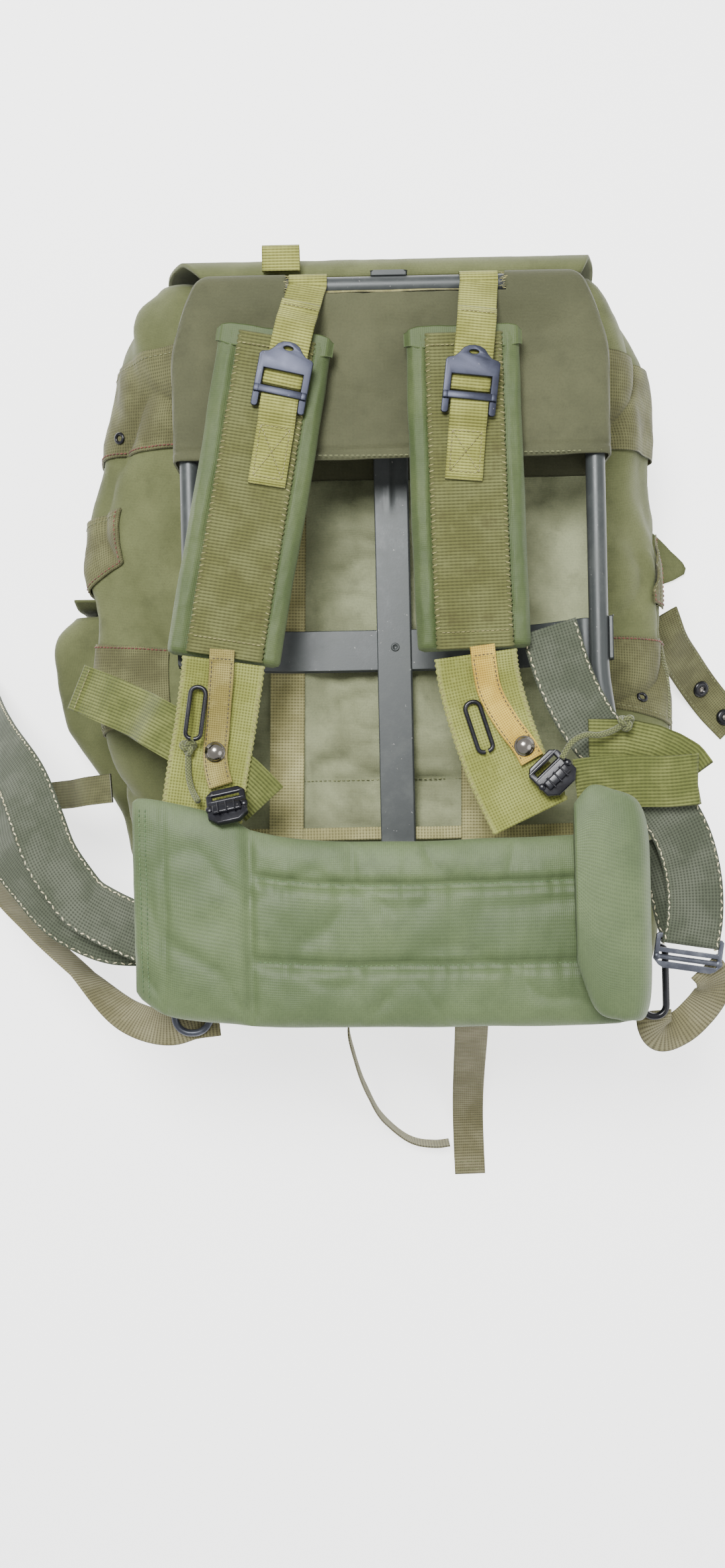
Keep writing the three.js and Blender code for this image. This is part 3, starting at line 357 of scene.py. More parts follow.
def plate_mesh(outline, holes, thick, soft=0.5):
    """A flat plate from an outline with holes, its edges rounded off, lying round z 0."""
    made = bmesh.new()
    edges = []
    for ring in [outline, *holes]:
        verts = [made.verts.new((x, y, 0)) for x, y in ring]
        edges += [made.edges.new((a, b)) for a, b in zip(verts, verts[1:] + verts[:1])]
    bmesh.ops.triangle_fill(made, use_beauty=True, use_dissolve=False, edges=edges)
    bmesh.ops.dissolve_limit(made, angle_limit=0.01, verts=made.verts, edges=made.edges)
    bmesh.ops.recalc_face_normals(made, faces=made.faces)
    if sum(f.normal.z for f in made.faces) < 0:
        bmesh.ops.reverse_faces(made, faces=made.faces)
    faces = made.faces[:]
    grown = bmesh.ops.extrude_face_region(made, geom=faces)
    bmesh.ops.translate(made, vec=(0, 0, thick),
                        verts=[v for v in grown["geom"] if isinstance(v, bmesh.types.BMVert)])
    bmesh.ops.recalc_face_normals(made, faces=made.faces)
    bmesh.ops.translate(made, vec=(0, 0, -thick / 2), verts=made.verts)
    rims = [e for e in made.edges if len(e.link_faces) == 2 and e.calc_face_angle(0) > math.radians(50)
            and abs(e.verts[0].co.z - e.verts[1].co.z) < 0.01]
    if soft:
        bmesh.ops.bevel(made, geom=rims, offset=soft, segments=3, affect="EDGES", profile=0.5, material=-1)
    return made


def turned_mesh(profile, steps=32):
    """A ring of metal from its half section, spun round z."""
    made = bmesh.new()
    verts = [made.verts.new((x, 0, z)) for x, z in profile]
    edges = [made.edges.new(pair) for pair in zip(verts, verts[1:])]
    bmesh.ops.spin(made, geom=verts + edges, cent=(0, 0, 0), axis=(0, 0, 1), angle=math.tau, steps=steps,
                   use_merge=True)
    bmesh.ops.remove_doubles(made, verts=made.verts, dist=0.01)
    bmesh.ops.recalc_face_normals(made, faces=made.faces)
    return made


def stand(made, origin, out, heading):
    """Turns a bmesh so that its z points out and its y along the heading, and moves it to its place."""
    out = Vector(out).normalized()
    ahead = (Vector(heading) - out * Vector(heading).dot(out)).normalized()
    turn = Matrix((ahead.cross(out), ahead, out)).transposed().to_4x4()
    bmesh.ops.transform(made, matrix=Matrix.Translation(Vector(origin)) @ turn, verts=made.verts)
    return made


class Sewing:
    """Collects a piece's stitches: small rounded beads of thread along seams."""

    def __init__(self):
        self.made = bmesh.new()
        self.batch = bmesh.new()
        self.count = 0
        self.thread = bpy.context.scene.rucksack_sizes.thread_thickness / MM / 2

    def stitch(self, centre, tangent, out, long, thick=None):
        """One stitch, a long bead lying on a surface."""
        thick = thick or self.thread
        ahead = tangent.normalized()
        side = out.cross(ahead).normalized()
        top = ahead.cross(side).normalized()
        turn = Matrix((ahead * long / 2, side * thick, top * thick)).transposed().to_4x4()
        bmesh.ops.create_uvsphere(
            self.batch, u_segments=6, v_segments=4, radius=1.0, matrix=Matrix.Translation(centre) @ turn)
        self.count += 1
        if self.count % 30 == 0:
            self.gather()

    def gather(self):
        """Moves the last stitches into the piece; a small batch is quicker to add to."""
        join_into(self.made, self.batch)
        self.batch = bmesh.new()

    def seam(self, spots, pitch=4.2, long=3.1, thick=None):
        """spots are pairs of a point and its outward direction."""
        carried = pitch / 2
        for (a, out), (b, _) in zip(spots, spots[1:]):
            gone = (b - a).length
            while carried < gone:
                self.stitch(a.lerp(b, carried / gone), b - a, out, long, thick)
                carried += pitch
            carried -= gone

    def on(self, route, aside, start, end, lift, **settings):
        """A seam along a strap, at a distance aside of its middle."""
        steps = max(2, round(abs(end - start) / 3))
        spots = []
        for k in range(steps + 1):
            along = start + (end - start) * k / steps
            where = aside(along) if callable(aside) else aside
            spots.append((route.at(along, where, lift), route.axes(along)[3]))
        self.seam(spots, **settings)

    def across(self, route, along, low, high, lift, **settings):
        """A seam from one side of a strap to the other."""
        out = route.axes(along)[3]
        steps = 6
        self.seam([(route.at(along, low + (high - low) * k / steps, lift), out) for k in range(steps + 1)],
                  **settings)

    def edging(self, route, aside, lift, pitch, count, lean, first=1, **settings):
        """Stitches one by one along an edge, each leaning by its share of across and along."""
        for k in range(first, count):
            _, ahead, across, out = route.axes(k * pitch)
            over, onward = lean(k)
            self.stitch(route.at(k * pitch, aside, lift), across * over + ahead * onward, out, **settings)

    def box(self, route, start, end, half, lift, **settings):
        """The boxed cross that holds a strap's end."""
        self.on(route, -half, start, end, lift, **settings)
        self.on(route, half, start, end, lift, **settings)
        self.across(route, start, -half, half, lift, **settings)
        self.across(route, end, -half, half, lift, **settings)
        for sign in (-1, 1):
            self.on(route, lambda along: sign * half * (2 * (along - start) / (end - start) - 1), start, end,
                    lift + 0.1, **settings)

    def done(self, name, material):
        """Makes all the stitches a piece."""
        self.gather()
        self.batch.free()
        return finish_piece(name, self.made, material)


# materials


def add_node(tree, kind, inputs=None, **settings):
    """Adds a node with its settings; each input is a value or the output that feeds it."""
    made = tree.nodes.new(kind)
    for key, value in settings.items():
        setattr(made, key, value)
    for socket, value in (inputs or {}).items():
        if isinstance(value, bpy.types.NodeSocket):
            tree.links.new(value, made.inputs[socket])
        else:
            made.inputs[socket].default_value = value
    return made


def start_material(name):
    """An empty material and its node tree."""
    material = bpy.data.materials.new(name)
    material.use_nodes = True
    tree = material.node_tree
    tree.nodes.clear()
    return material, tree


def close_material(tree, colour, height, distance, strength=1.0, **surface):
    """Raises the surface by its height pattern and sends shader and colour to the output."""
    raised = add_node(tree, "ShaderNodeBump", {"Strength": strength, "Distance": distance, "Height": height})
    facts = {key.replace("_", " "): value for key, value in surface.items()}
    shader = add_node(tree, "ShaderNodeBsdfPrincipled",
                      {"Base Color": colour, "Normal": raised.outputs["Normal"], **facts})
    add_node(tree, "ShaderNodeOutputMaterial", {"Surface": shader.outputs["BSDF"]})


def tinted_by_pattern(tree, colour, pattern, low, high, amount, other):
    """Colour that turns to another where a pattern goes from low to high, by an amount at most."""
    share = add_node(tree, "ShaderNodeMapRange",
                     {"Value": pattern, "From Min": low, "From Max": high, "To Min": 0.0, "To Max": amount},
                     interpolation_type="SMOOTHSTEP")
    if not isinstance(colour, bpy.types.NodeSocket):
        colour = linear(colour)
    return add_node(tree, "ShaderNodeMix", {0: share.outputs[0], 6: colour, 7: linear(other)},
                    data_type="RGBA").outputs[2]


def clouded(tree, colour, where, size_mm, detail, rough, low, high, amount, other):
    """Colour that turns to another in soft clouds of a real size, as dirt, fading and rubbing do."""
    clouds = add_node(tree, "ShaderNodeTexNoise",
                      {"Vector": where, "Scale": 1 / (size_mm * MM), "Detail": detail, "Roughness": rough})
    return tinted_by_pattern(tree, colour, clouds.outputs["Fac"], low, high, amount, other)


def crossed_threads(tree, where, rib_mm, yarn_mm, rib_axis, rib_share, wander):
    """Height of ribs one way and yarns the other; a wave texture's period is 2 pi / 20 of its scale."""
    ways = []
    for pitch, axis, part in ((rib_mm, rib_axis, rib_share),
                              (yarn_mm, "Y" if rib_axis == "X" else "X", 1 - rib_share)):
        wave = add_node(tree, "ShaderNodeTexWave",
                        {"Vector": where, "Scale": math.tau / 20 / (pitch * MM), "Distortion": wander,
                         "Detail": 1.0,
                         "Detail Scale": pitch / 8},
                        wave_type="BANDS", bands_direction=axis, wave_profile="SIN")
        ways.append(add_node(tree, "ShaderNodeMath", {0: wave.outputs["Fac"], 1: part}, operation="MULTIPLY"))
    return add_node(tree, "ShaderNodeMath", {0: ways[0].outputs[0], 1: ways[1].outputs[0]},
                    operation="ADD").outputs[0]


def fuzzed(tree, weave, fibre, amount):
    """The weave's height with loose fibres on it."""
    loose = add_node(tree, "ShaderNodeMath", {0: fibre, 1: amount}, operation="MULTIPLY")
    return add_node(tree, "ShaderNodeMath", {0: weave, 1: loose.outputs[0]}, operation="ADD").outputs[0]


def woven(name, base, faded, dark, rib_mm, yarn_mm, rib_share=0.7, depth=0.00035, worn=0.35, edge=None,
          rib_axis="Y", skew=0.0, stain=None):
    """Nylon webbing: raised ribs crossed by finer yarns, faded in clouds, with painted shade darkening the
    valleys between the ribs.
    """
    material, tree = start_material(name)
    metres = add_node(tree, "ShaderNodeUVMap", uv_map="cloth").outputs[0]
    solid = add_node(tree, "ShaderNodeTexCoord").outputs["Object"]
    laid = add_node(tree, "ShaderNodeMapping", {"Vector": metres, "Rotation": (0, 0, skew)}).outputs[0]
    weave = crossed_threads(tree, laid, rib_mm, yarn_mm, rib_axis, rib_share, 0.5)
    fibre = add_node(tree, "ShaderNodeTexNoise", {"Vector": solid, "Scale": 1 / (0.7 * MM)}).outputs["Fac"]
    colour = clouded(tree, base, solid, 26.0, 4.0, 0.55, 0.38, 0.66, 1.0, faded)
    # painted shade: the weave's low valleys are darkened towards the dark colour
    colour = tinted_by_pattern(tree, colour, weave, 0.66, 0.12, 0.72, dark)
    colour = clouded(tree, colour, solid, 7.0, 4.0, 0.65, 0.52, 0.75, worn, faded)
    colour = clouded(tree, colour, solid, 0.7, 2.0, 0.55, 0.45, 0.7, 0.18, dark)
    if stain:
        colour = clouded(tree, colour, solid, 15.0, 5.0, 0.55, 0.56, 0.72, 0.5, stain)
    if edge:
        share = add_node(tree, "ShaderNodeUVMap", uv_map="share").outputs[0]
        across = add_node(tree, "ShaderNodeSeparateXYZ", {0: share}).outputs[0]
        shifted = add_node(tree, "ShaderNodeMath", {0: across, 1: 0.5}, operation="SUBTRACT").outputs[0]
        far = add_node(tree, "ShaderNodeMath", {0: shifted}, operation="ABSOLUTE").outputs[0]
        colour = tinted_by_pattern(tree, colour, far, 0.43, 0.48, 0.75, edge)
    close_material(tree, colour, fuzzed(tree, weave, fibre, 0.25), depth, 0.9, Roughness=0.88,
                   Specular_IOR_Level=0.25, Sheen_Weight=0.1, Sheen_Roughness=0.5)
    return material


def duck(name, base, faded, dark, weave_mm=1.1, depth=0.00012, clouds_mm=55.0, roughness=0.82, soil=0.35,
         lines=0.25, specular=0.3):
    """Plain-woven nylon duck: a fine square weave, cloudy fading and soiling, and painted shade in the
    weave's hollows.
    """
    material, tree = start_material(name)
    metres = add_node(tree, "ShaderNodeUVMap", uv_map="cloth").outputs[0]
    solid = add_node(tree, "ShaderNodeTexCoord").outputs["Object"]
    weave = crossed_threads(tree, metres, weave_mm, weave_mm, "X", 0.5, 0.8)
    streaks = add_node(tree, "ShaderNodeMapping", {"Vector": metres, "Scale": (1.0, 5.0, 1.0)}).outputs[0]
    fibre = add_node(tree, "ShaderNodeTexNoise", {"Vector": solid, "Scale": 1 / (1.3 * MM)}).outputs["Fac"]
    colour = clouded(tree, base, solid, clouds_mm, 5.0, 0.6, 0.35, 0.68, 1.0, faded)
    colour = clouded(tree, colour, streaks, 9.0, 5.0, 0.7, 0.5, 0.72, lines, faded)
    colour = clouded(tree, colour, solid, clouds_mm * 0.45, 6.0, 0.65, 0.52, 0.72, soil, dark)
    # painted shade: the weave's hollows are darkened towards the dark colour
    colour = tinted_by_pattern(tree, colour, weave, 0.55, 0.1, 0.35, dark)
    colour = clouded(tree, colour, solid, 1.3, 2.0, 0.55, 0.4, 0.7, 0.18, dark)
    close_material(tree, colour, fuzzed(tree, weave, fibre, 0.5), depth, 0.8, Roughness=roughness,
                   Specular_IOR_Level=specular, Sheen_Weight=0.08, Sheen_Roughness=0.45)
    return material


def painted(name, base, worn_colour, rough_low, rough_high, metallic=0.0, chips=0.0, grain_mm=1.2,
            depth=0.00004):
    """Sprayed or dipped metal: slight orange peel, rubbed lighter in places, with small chips."""
    material, tree = start_material(name)
    solid = add_node(tree, "ShaderNodeTexCoord").outputs["Object"]
    peel = add_node(tree, "ShaderNodeTexNoise",
                    {"Vector": solid, "Scale": 1 / (grain_mm * MM)}).outputs["Fac"]
    rub = add_node(tree, "ShaderNodeTexNoise", {"Vector": solid, "Scale": 1 / (18 * MM), "Detail": 6.0,
                                                "Roughness": 0.7}).outputs["Fac"]
    colour = tinted_by_pattern(tree, base, rub, 0.45, 0.7, 0.55, worn_colour)
    colour = clouded(tree, colour, solid, 2.6, 3.0, 0.6, 0.7, 0.74, chips, "#A9A7A2")
    roughness = add_node(tree, "ShaderNodeMapRange", {"Value": rub, "From Min": 0.3, "From Max": 0.7,
                                                      "To Min": rough_low, "To Max": rough_high}).outputs[0]
    close_material(tree, colour, peel, depth, 0.5, Roughness=roughness, Metallic=metallic)
    return material


def threads(name, base, dark):
    """Twisted sewing thread, with a turn every 0.9 mm."""
    material, tree = start_material(name)
    solid = add_node(tree, "ShaderNodeTexCoord").outputs["Object"]
    twist = add_node(tree, "ShaderNodeTexWave", {"Vector": solid, "Scale": math.tau / 20 / (0.9 * MM)},
                     wave_type="BANDS", bands_direction="DIAGONAL").outputs["Fac"]
    colour = clouded(tree, base, solid, 6.0, 3.0, 0.55, 0.35, 0.65, 1.0, dark)
    close_material(tree, colour, twist, 0.0001, Roughness=0.8, Sheen_Weight=0.2)
    return material


def braided(name, base, dark):
    """Braided nylon cord: strands crossing in diamonds 1.6 mm long round the cord."""
    material, tree = start_material(name)
    metres = add_node(tree, "ShaderNodeUVMap", uv_map="cloth").outputs[0]
    solid = add_node(tree, "ShaderNodeTexCoord").outputs["Object"]
    turned = add_node(tree, "ShaderNodeMapping", {"Vector": metres, "Rotation": (0, 0, 0.785)}).outputs[0]
    plait = crossed_threads(tree, turned, 1.6, 1.6, "X", 0.5, 0.1)
    # painted shade: the low gaps between the strands are dark, the raised strands take the cord's colour
    colour = tinted_by_pattern(tree, dark, plait, 0.3, 0.75, 1.0, base)
    colour = clouded(tree, colour, solid, 4.0, 3.0, 0.55, 0.4, 0.7, 0.25, dark)
    close_material(tree, colour, plait, 0.0004, Roughness=0.75, Sheen_Weight=0.25)
    return material


# every material: its maker, its colours from the main one on, and what sets it apart
FINISH_FACTS = {
    # steel tube, wet sprayed with satin paint: soft wide glints along the tube, rubbed lighter in places
    "satin frame paint": (painted, ("#3A3E3E", "#4C504E"),
                          dict(rough_low=0.34, rough_high=0.5, metallic=0.25, chips=0.5)),
    # pressed spring steel, phosphated and oiled: dark and bluish with a low sheen
    "phosphated steel": (painted, ("#262937", "#3B3F4E"),
                         dict(rough_low=0.32, rough_high=0.48, metallic=0.6, chips=0.3, grain_mm=0.8)),
    # the belt's plates, of the same steel, worn bright at their edges: greyer and clearer glints
    "belt plate steel": (painted, ("#51545E", "#797D86"),
                         dict(rough_low=0.3, rough_high=0.46, metallic=0.65, chips=0.5, grain_mm=0.8)),
    # cast zinc and brass in baked black enamel: deep black with small sharp lights
    "black enamel": (painted, ("#0E0E14", "#22232B"),
                     dict(rough_low=0.2, rough_high=0.36, metallic=0.2, chips=0.35, grain_mm=1.0)),
    # drawn wire in thin grey enamel: a thin light line along each bar
    "grey wire enamel": (painted, ("#3E414B", "#666A74"),
                         dict(rough_low=0.28, rough_high=0.42, metallic=0.4, chips=0.4, grain_mm=0.9)),
    # stamped brass with dark nickel plate, polished by hands: the one piece that shines like a mirror
    "dark nickel plate": (painted, ("#8C8780", "#B4AFA8"),
                          dict(rough_low=0.14, rough_high=0.26, metallic=1.0, grain_mm=0.6, depth=0.00002)),
    # nylon duck woven plain, dyed and coated inside: matt, cloudy from sun, with a fine square grain
    "olive nylon duck": (duck, ("#555A38", "#666B46", "#3B3E26"), {}),
    # the same duck painted paler on the back panel, as painted light that lifts the shade it lies in: clouded
    # in smaller patches
    "back panel duck": (duck, ("#7A7E60", "#909574", "#535641"), dict(clouds_mm=40.0)),
    # the same duck round the frame, browned by rubbing: streaks along it and a coarser grain
    "worn brown duck": (duck, ("#474933", "#54563D", "#333424"),
                        dict(weave_mm=1.0, depth=0.00016, clouds_mm=70.0, lines=0.35)),
    # coated pack cloth pulled over foam: greener and smoother, so its edges catch a soft light
    "green pad nylon": (duck, ("#415029", "#4E5B33", "#2C371C"),
                        dict(weave_mm=1.3, depth=0.00014, roughness=0.6, soil=0.22, specular=0.4)),
    # the hip pad's cloth, of the same make but paler: a soft light on each quilted ridge
    "green hip nylon": (duck, ("#4E5E3B", "#5D6D47", "#364229"),
                        dict(weave_mm=1.3, depth=0.00014, roughness=0.56, soil=0.25, specular=0.42)),
    # flat nylon webbing from a needle loom: yellowish, with clear ribs across and painted shade in the dark
    # gaps between
    "khaki strap webbing": (woven, ("#838542", "#9D9F56", "#48471E"),
                            dict(rib_mm=2.0, yarn_mm=2.6, rib_share=0.82, worn=0.3)),
    # wide cotton-like webbing, sweat-stained: brown clouds between darker borders
    "khaki pad webbing": (woven, ("#5A5C33", "#696C42", "#37371E"),
                          dict(rib_mm=2.2, yarn_mm=3.0, rib_share=0.8, edge="#4E512F", worn=0.45,
                               stain="#444126")),
    # the same width in a plain weave, bleached by washing: pale, with light borders
    "pale lower webbing": (woven, ("#7E833F", "#929752", "#515325"),
                           dict(rib_mm=2.0, yarn_mm=2.0, rib_share=0.5, edge="#909356", worn=0.5,
                                depth=0.0003)),
    # heavy plain webbing sewn round the bag: a brown square grain
    "brown band webbing": (woven, ("#58573A", "#6C6C49", "#3B3B27"),
                           dict(rib_mm=1.8, yarn_mm=2.2, rib_share=0.55, depth=0.00025, worn=0.4)),
    # undyed-looking webbing on the back: the lightest cloth, sandy against the panel
    "khaki back webbing": (woven, ("#948F61", "#ACA777", "#615E3F"),
                           dict(rib_mm=2.2, yarn_mm=2.2, rib_share=0.6)),
    # webbing woven with thick cords across: deep ribs that read as stripes
    "olive ribbed webbing": (woven, ("#5F6634", "#777D46", "#3B401D"),
                             dict(rib_mm=2.3, yarn_mm=3.0, rib_share=0.8, depth=0.0006, rib_axis="X",
                                  skew=0.03)),
    # thin slippery webbing of the long straps: low ribs and a dull brown
    "thin olive webbing": (woven, ("#726E4F", "#868264", "#494533"), dict(rib_mm=2.4, yarn_mm=1.6)),
    # narrow tape folded and sewn, on the left: an even fine grain
    "brown pull tab": (woven, ("#897D42", "#A0955A", "#595029"),
                       dict(rib_mm=1.5, yarn_mm=1.5, rib_share=0.5, worn=0.5)),
    # the same tape from another dye lot, on the right: tan, nearly orange
    "tan pull tab": (woven, ("#BA9A3D", "#D4B651", "#876B27"),
                     dict(rib_mm=1.5, yarn_mm=1.5, rib_share=0.5, worn=0.5)),
    # seat-belt-like webbing of the waist belt: grey-green and dense
    "grey belt webbing": (woven, ("#4B5142", "#5D6254", "#2F3329"),
                          dict(rib_mm=2.0, yarn_mm=2.2, rib_share=0.45, depth=0.0004, worn=0.25)),
    # bonded nylon thread, twisted: short raised dashes a little lighter or darker than the cloth
    "olive thread": (threads, ("#7F8256", "#5C6040"), {}),
    "green thread": (threads, ("#5F7A4F", "#445A38"), {}),
    "khaki thread": (threads, ("#908C59", "#706B3D"), {}),
    "brown thread": (threads, ("#544A36", "#3B3426"), {}),
    "cream thread": (threads, ("#E2DAB4", "#BDB48A"), {}),
    "red-brown thread": (threads, ("#7A4134", "#552C24"), {}),
    # nylon cord braided over a core: small diamonds that break up its light side
    "olive braided cord": (braided, ("#6E7442", "#3D4222"), {}),
}
# the materials whose main colour the add-on's panel sets
PICKED = {"satin frame paint": "frame_paint", "olive nylon duck": "bag_cloth", "green pad nylon": "pad_cloth",
          "khaki strap webbing": "strap_webbing"}
FINISHES = {}


def finish(name):
    """The material of that name, made the first time that a piece asks for it."""
    if name not in FINISHES:
        maker, (base, *others), settings = FINISH_FACTS[name]
        if name in PICKED:
            base = getattr(bpy.context.scene.rucksack_colours, PICKED[name])
        FINISHES[name] = maker(name, base, *others, **settings)
    return FINISHES[name]


# surfaces from tables


class Table:
    """Rows of numbers read smoothly from 0 to 1 by the distance that the first numbers of each row cover."""

    def __init__(self, rows, keys=1):
        self.rows = rows
        self.run = [0.0]
        for a, b in zip(rows, rows[1:]):
            self.run.append(self.run[-1] + math.dist(a[:keys], b[:keys]))

    def at(self, share):
        goal = min(1.0, max(0.0, share)) * self.run[-1]
        i = 0
        while i < len(self.rows) - 2 and self.run[i + 1] < goal:
            i += 1
        gone = self.run[i + 1] - self.run[i]
        t = (goal - self.run[i]) / max(1e-9, gone)
        b, c = self.rows[i], self.rows[i + 1]
        before = max(1e-9, self.run[i] - self.run[i - 1]) if i else gone
        after = self.run[i + 2] - self.run[i + 1] if i + 2 < len(self.rows) else gone
        a = self.rows[i - 1] if i else b
        d = self.rows[i + 2] if i + 2 < len(self.rows) else c
        out = []
        for p, q, r, s in zip(a, b, c, d):
            leave = (r - p) / (before + gone) * gone if i else r - q
            reach = (s - q) / (gone + after) * gone if i + 2 < len(self.rows) else r - q
            out.append(q + leave * t + (3 * (r - q) - 2 * leave - reach) * t * t
                       + (2 * (q - r) + leave + reach) * t**3)
        return out


def power(value, exponent):
    """A power that keeps the sign; exponents under 1 square off a round section."""
    return math.copysign(abs(value) ** exponent, value)


def surface_spots(place, path, lift, sign=1.0, reach=0.004):
    """Points a little over a surface along a path of its shares, with the outward direction at each."""
    spots = []
    for s, t in path:
        here = Vector(place(s, t))
        one = Vector(place(min(1, s + reach), t)) - Vector(place(max(0, s - reach), t))
        two = Vector(place(s, min(1, t + reach))) - Vector(place(s, max(0, t - reach)))
        out = one.cross(two).normalized() * sign
        spots.append((here + out * lift, out))
    return spots


# bag: shares along, left and right of the loop, belly and back of the back's level
BAG = Table([
    [-1.004, -1.05, 1.05, 0.62, 0.74],
    [-0.985, -1.27, 1.26, 0.5, 0.86],
    [-0.925, -1.4, 1.38, 0.42, 0.95],
    [-0.78, -1.47, 1.44, 0.388, 0.995],
    [-0.59, -1.5, 1.47, 0.388, 1],
    [-0.39, -1.54, 1.51, 0.388, 1],
    [-0.19, -1.6, 1.55, 0.388, 1],
    [0, -1.635, 1.56, 0.388, 1],
    [0.2, -1.665, 1.55, 0.388, 1],
    [0.3, -1.69, 1.545, 0.388, 1],
    [0.43, -1.7, 1.52, 0.06, 1],
    [0.5, -1.67, 1.5, 0.05, 1.003],
    [0.63, -1.6, 1.47, 0.05, 1.07],
    [0.75, -1.555, 1.44, 0.05, 1.145],
    [0.87, -1.52, 1.4, 0.05, 1.215],
    [0.95, -1.47, 1.35, 0.06, 1.24],
    [1.02, -1.39, 1.27, 0.08, 1.235],
    [1.065, -1.3, 1.2, 0.1, 1.2],
])
BAG_BOTTOM, BAG_TOP = -1.004 * REACH, 1.065 * REACH
# the two webbings on the back: their places across at the top and at the bottom, in shares of SPAN
WEBBING_LINES = ((-0.53, -0.59), (0.46, 0.42))
# the shell's cloth, measured round the bag and along it
BAG_CLOTH_SIZE = (1180, 530)


def bag_section(y, angle):
    """A point of the bag's full, smooth shape at an angle round it, from the right side upwards."""
    _, left, right, low, high = BAG.at((y - BAG_BOTTOM) / (BAG_TOP - BAG_BOTTOM))
    c, s = math.cos(angle), math.sin(angle)
    exponent = 0.64 if s >= 0 else 0.5
    half = right * SPAN if c >= 0 else -left * SPAN
    return Vector((half * power(c, exponent), y,
                   ((high + low) + (high - low) * power(s, exponent)) / 2 * BACK_LEVEL))


def bag_relief(spot):
    """How far the cloth falls behind its full shape: sags, folds and crumples, in millimetres."""
    x, y, z = spot
    flat = ease(z, 120, 150) * (1 - ease(abs(x), 120, 150))
    side = 1 - flat
    long = crumple(x * 0.9 + y * 0.35, y * 0.32 - x * 0.3, z * 0.8, 26, 3.1)
    wide = crumple(x, y * 0.8, z, 75, 8.4)
    depth = side * (6.0 * long + 6.5 * wide - 4.5 + 7.0 * folds(x * 0.9, y * 0.7 + z * 0.5, z, 70, 7.7))
    webbing = min(abs(x - SPAN * (a + (b - a) * (0.5 - y / REACH) / 1.1)) for a, b in WEBBING_LINES)
    panel = (folds(x * 0.8 - y * 0.3, y + x * 0.2, 0, 64, 5.5) * 7.0
             + folds(x + y * 0.4, y * 1.5, 0, 34, 1.3) * 5.0)
    panel += 3.4 * crumple(x, y, 0, 26, 2.2) - 4.0 + 5.5 * (crumple(x, y, 0, 70, 6.1) - 0.5)
    depth += flat * panel * (0.12 + 0.88 * ease(webbing, 11, 26))
    depth += 0.55 * crumple(x, y, z, 9, 4.4) * (0.35 + 0.65 * side)
    tuck = 2.6 * math.exp(-((y + 84) / 3.2) ** 2) * flat
    return depth - tuck


def bag_spot(y, angle, lift=0.0):
    """A point of the bag's slack cloth, lifted off it by a distance in millimetres."""
    spot = bag_section(y, angle)
    ahead = bag_section(y, angle + 0.02) - bag_section(y, angle - 0.02)
    out = Vector((ahead.z, 0, -ahead.x))
    out = out.normalized() if out.length > 1e-6 else Vector((spot.x, 0, spot.z - 90)).normalized()
    spot += out * (bag_relief(spot) * ease(y, BAG_BOTTOM, BAG_BOTTOM + 30) + lift)
    spot.z = max(spot.z, 0.4)
    return spot


RINGS = {}


def ring_angle(y, share, section=None):
    """The angle at an even share of the way round a section, from the right side upwards."""
    level = round(y / 3) * 3
    key = (level, section)
    if key not in RINGS:
        shape = section or bag_section
        angles = [math.tau * k / 180 for k in range(181)]
        points = [shape(level, a) for a in angles]
        run = [0.0]
        for a, b in zip(points, points[1:]):
            run.append(run[-1] + (b - a).length)
        RINGS[key] = (angles, run)
    angles, run = RINGS[key]
    goal = share * run[-1]
    low, high = 0, 180
    while high - low > 1:
        mid = (low + high) // 2
        low, high = (mid, high) if run[mid] <= goal else (low, mid)
    part = (goal - run[low]) / max(1e-9, run[high] - run[low])
    return angles[low] + (angles[high] - angles[low]) * part


def bag_body():
    """The shell; its end towards the hips is drawn in to one point."""
    def place(s, t):
        end = 0.035
        if t < end:
            y = BAG_BOTTOM
            grow = (t / end) ** 0.7
            spot = bag_spot(y, ring_angle(y, s))
            middle = Vector((0, y - 1.5, BACK_LEVEL * 0.68))
            return middle.lerp(spot, grow)
        y = BAG_BOTTOM + (BAG_TOP - BAG_BOTTOM) * (t - end) / (1 - end)
        return bag_spot(y, ring_angle(y, s))

    made = cloth_grid(168, 150, place, size=BAG_CLOTH_SIZE, closed=True)
    bmesh.ops.recalc_face_normals(made, faces=made.faces)
    for face in made.faces:
        spot = face.calc_center_median()
        # the back panel's faces take the paler duck: painted light that lifts the shade the panel lies in
        face.material_index = 1 if spot.z > 100 and abs(spot.x) < SPAN + 10 and spot.y < 140 else 0
    thicken(made, 2.0)
    return finish_piece("bag_body_cloth", made, [finish("olive nylon duck"), finish("back panel duck")],
                        "bag_body")


def skin_band(name, node, angles, lower, upper, material, columns=60, rows=46, lift=1.6, wall=1.3):
    """A strap or patch sewn on the bag, from one angle to another and between two slanting edges."""
    low_angle, high_angle = (a * math.tau / 28 for a in angles)

    def place(s, t):
        y0 = lower[0] * (1 - s) + lower[1] * s
        y1 = upper[0] * (1 - s) + upper[1] * s
        y = (y0 + (y1 - y0) * t) * REACH
        # even steps round the section
        a, b = (ring_share(y, x) for x in (low_angle, high_angle))
        return bag_spot(y, ring_angle(y, a + (b - a) * s), lift + 0.25 * crumple(s * 200, t * 80, 0, 14, 2.0))

    made = cloth_grid(columns, rows, place)
    # these webbings run round the bag, so their ribs turn with them
    for layer in made.loops.layers.uv.values():
        for face in made.faces:
            for loop in face.loops:
                u, v = loop[layer].uv
                loop[layer].uv = (v, u)
    bmesh.ops.recalc_face_normals(made, faces=made.faces)
    probe = max(made.faces, key=lambda f: f.calc_area())
    centre = probe.calc_center_median()
    if probe.normal.dot(centre - Vector((0, centre.y, BACK_LEVEL * 0.6))) < 0:
        bmesh.ops.reverse_faces(made, faces=made.faces)
    thicken(made, wall)
    finish_piece(name, made, finish(material), node)
    return place


def ring_share(y, angle):
    """The even share round the section at an angle."""
    ring_angle(y, 0.0)
    _, run = RINGS[(round(y / 3) * 3, None)]
    where = angle / math.tau * 180
    low = min(179, int(where))
    return (run[low] + (run[low + 1] - run[low]) * (where - low)) / run[-1]


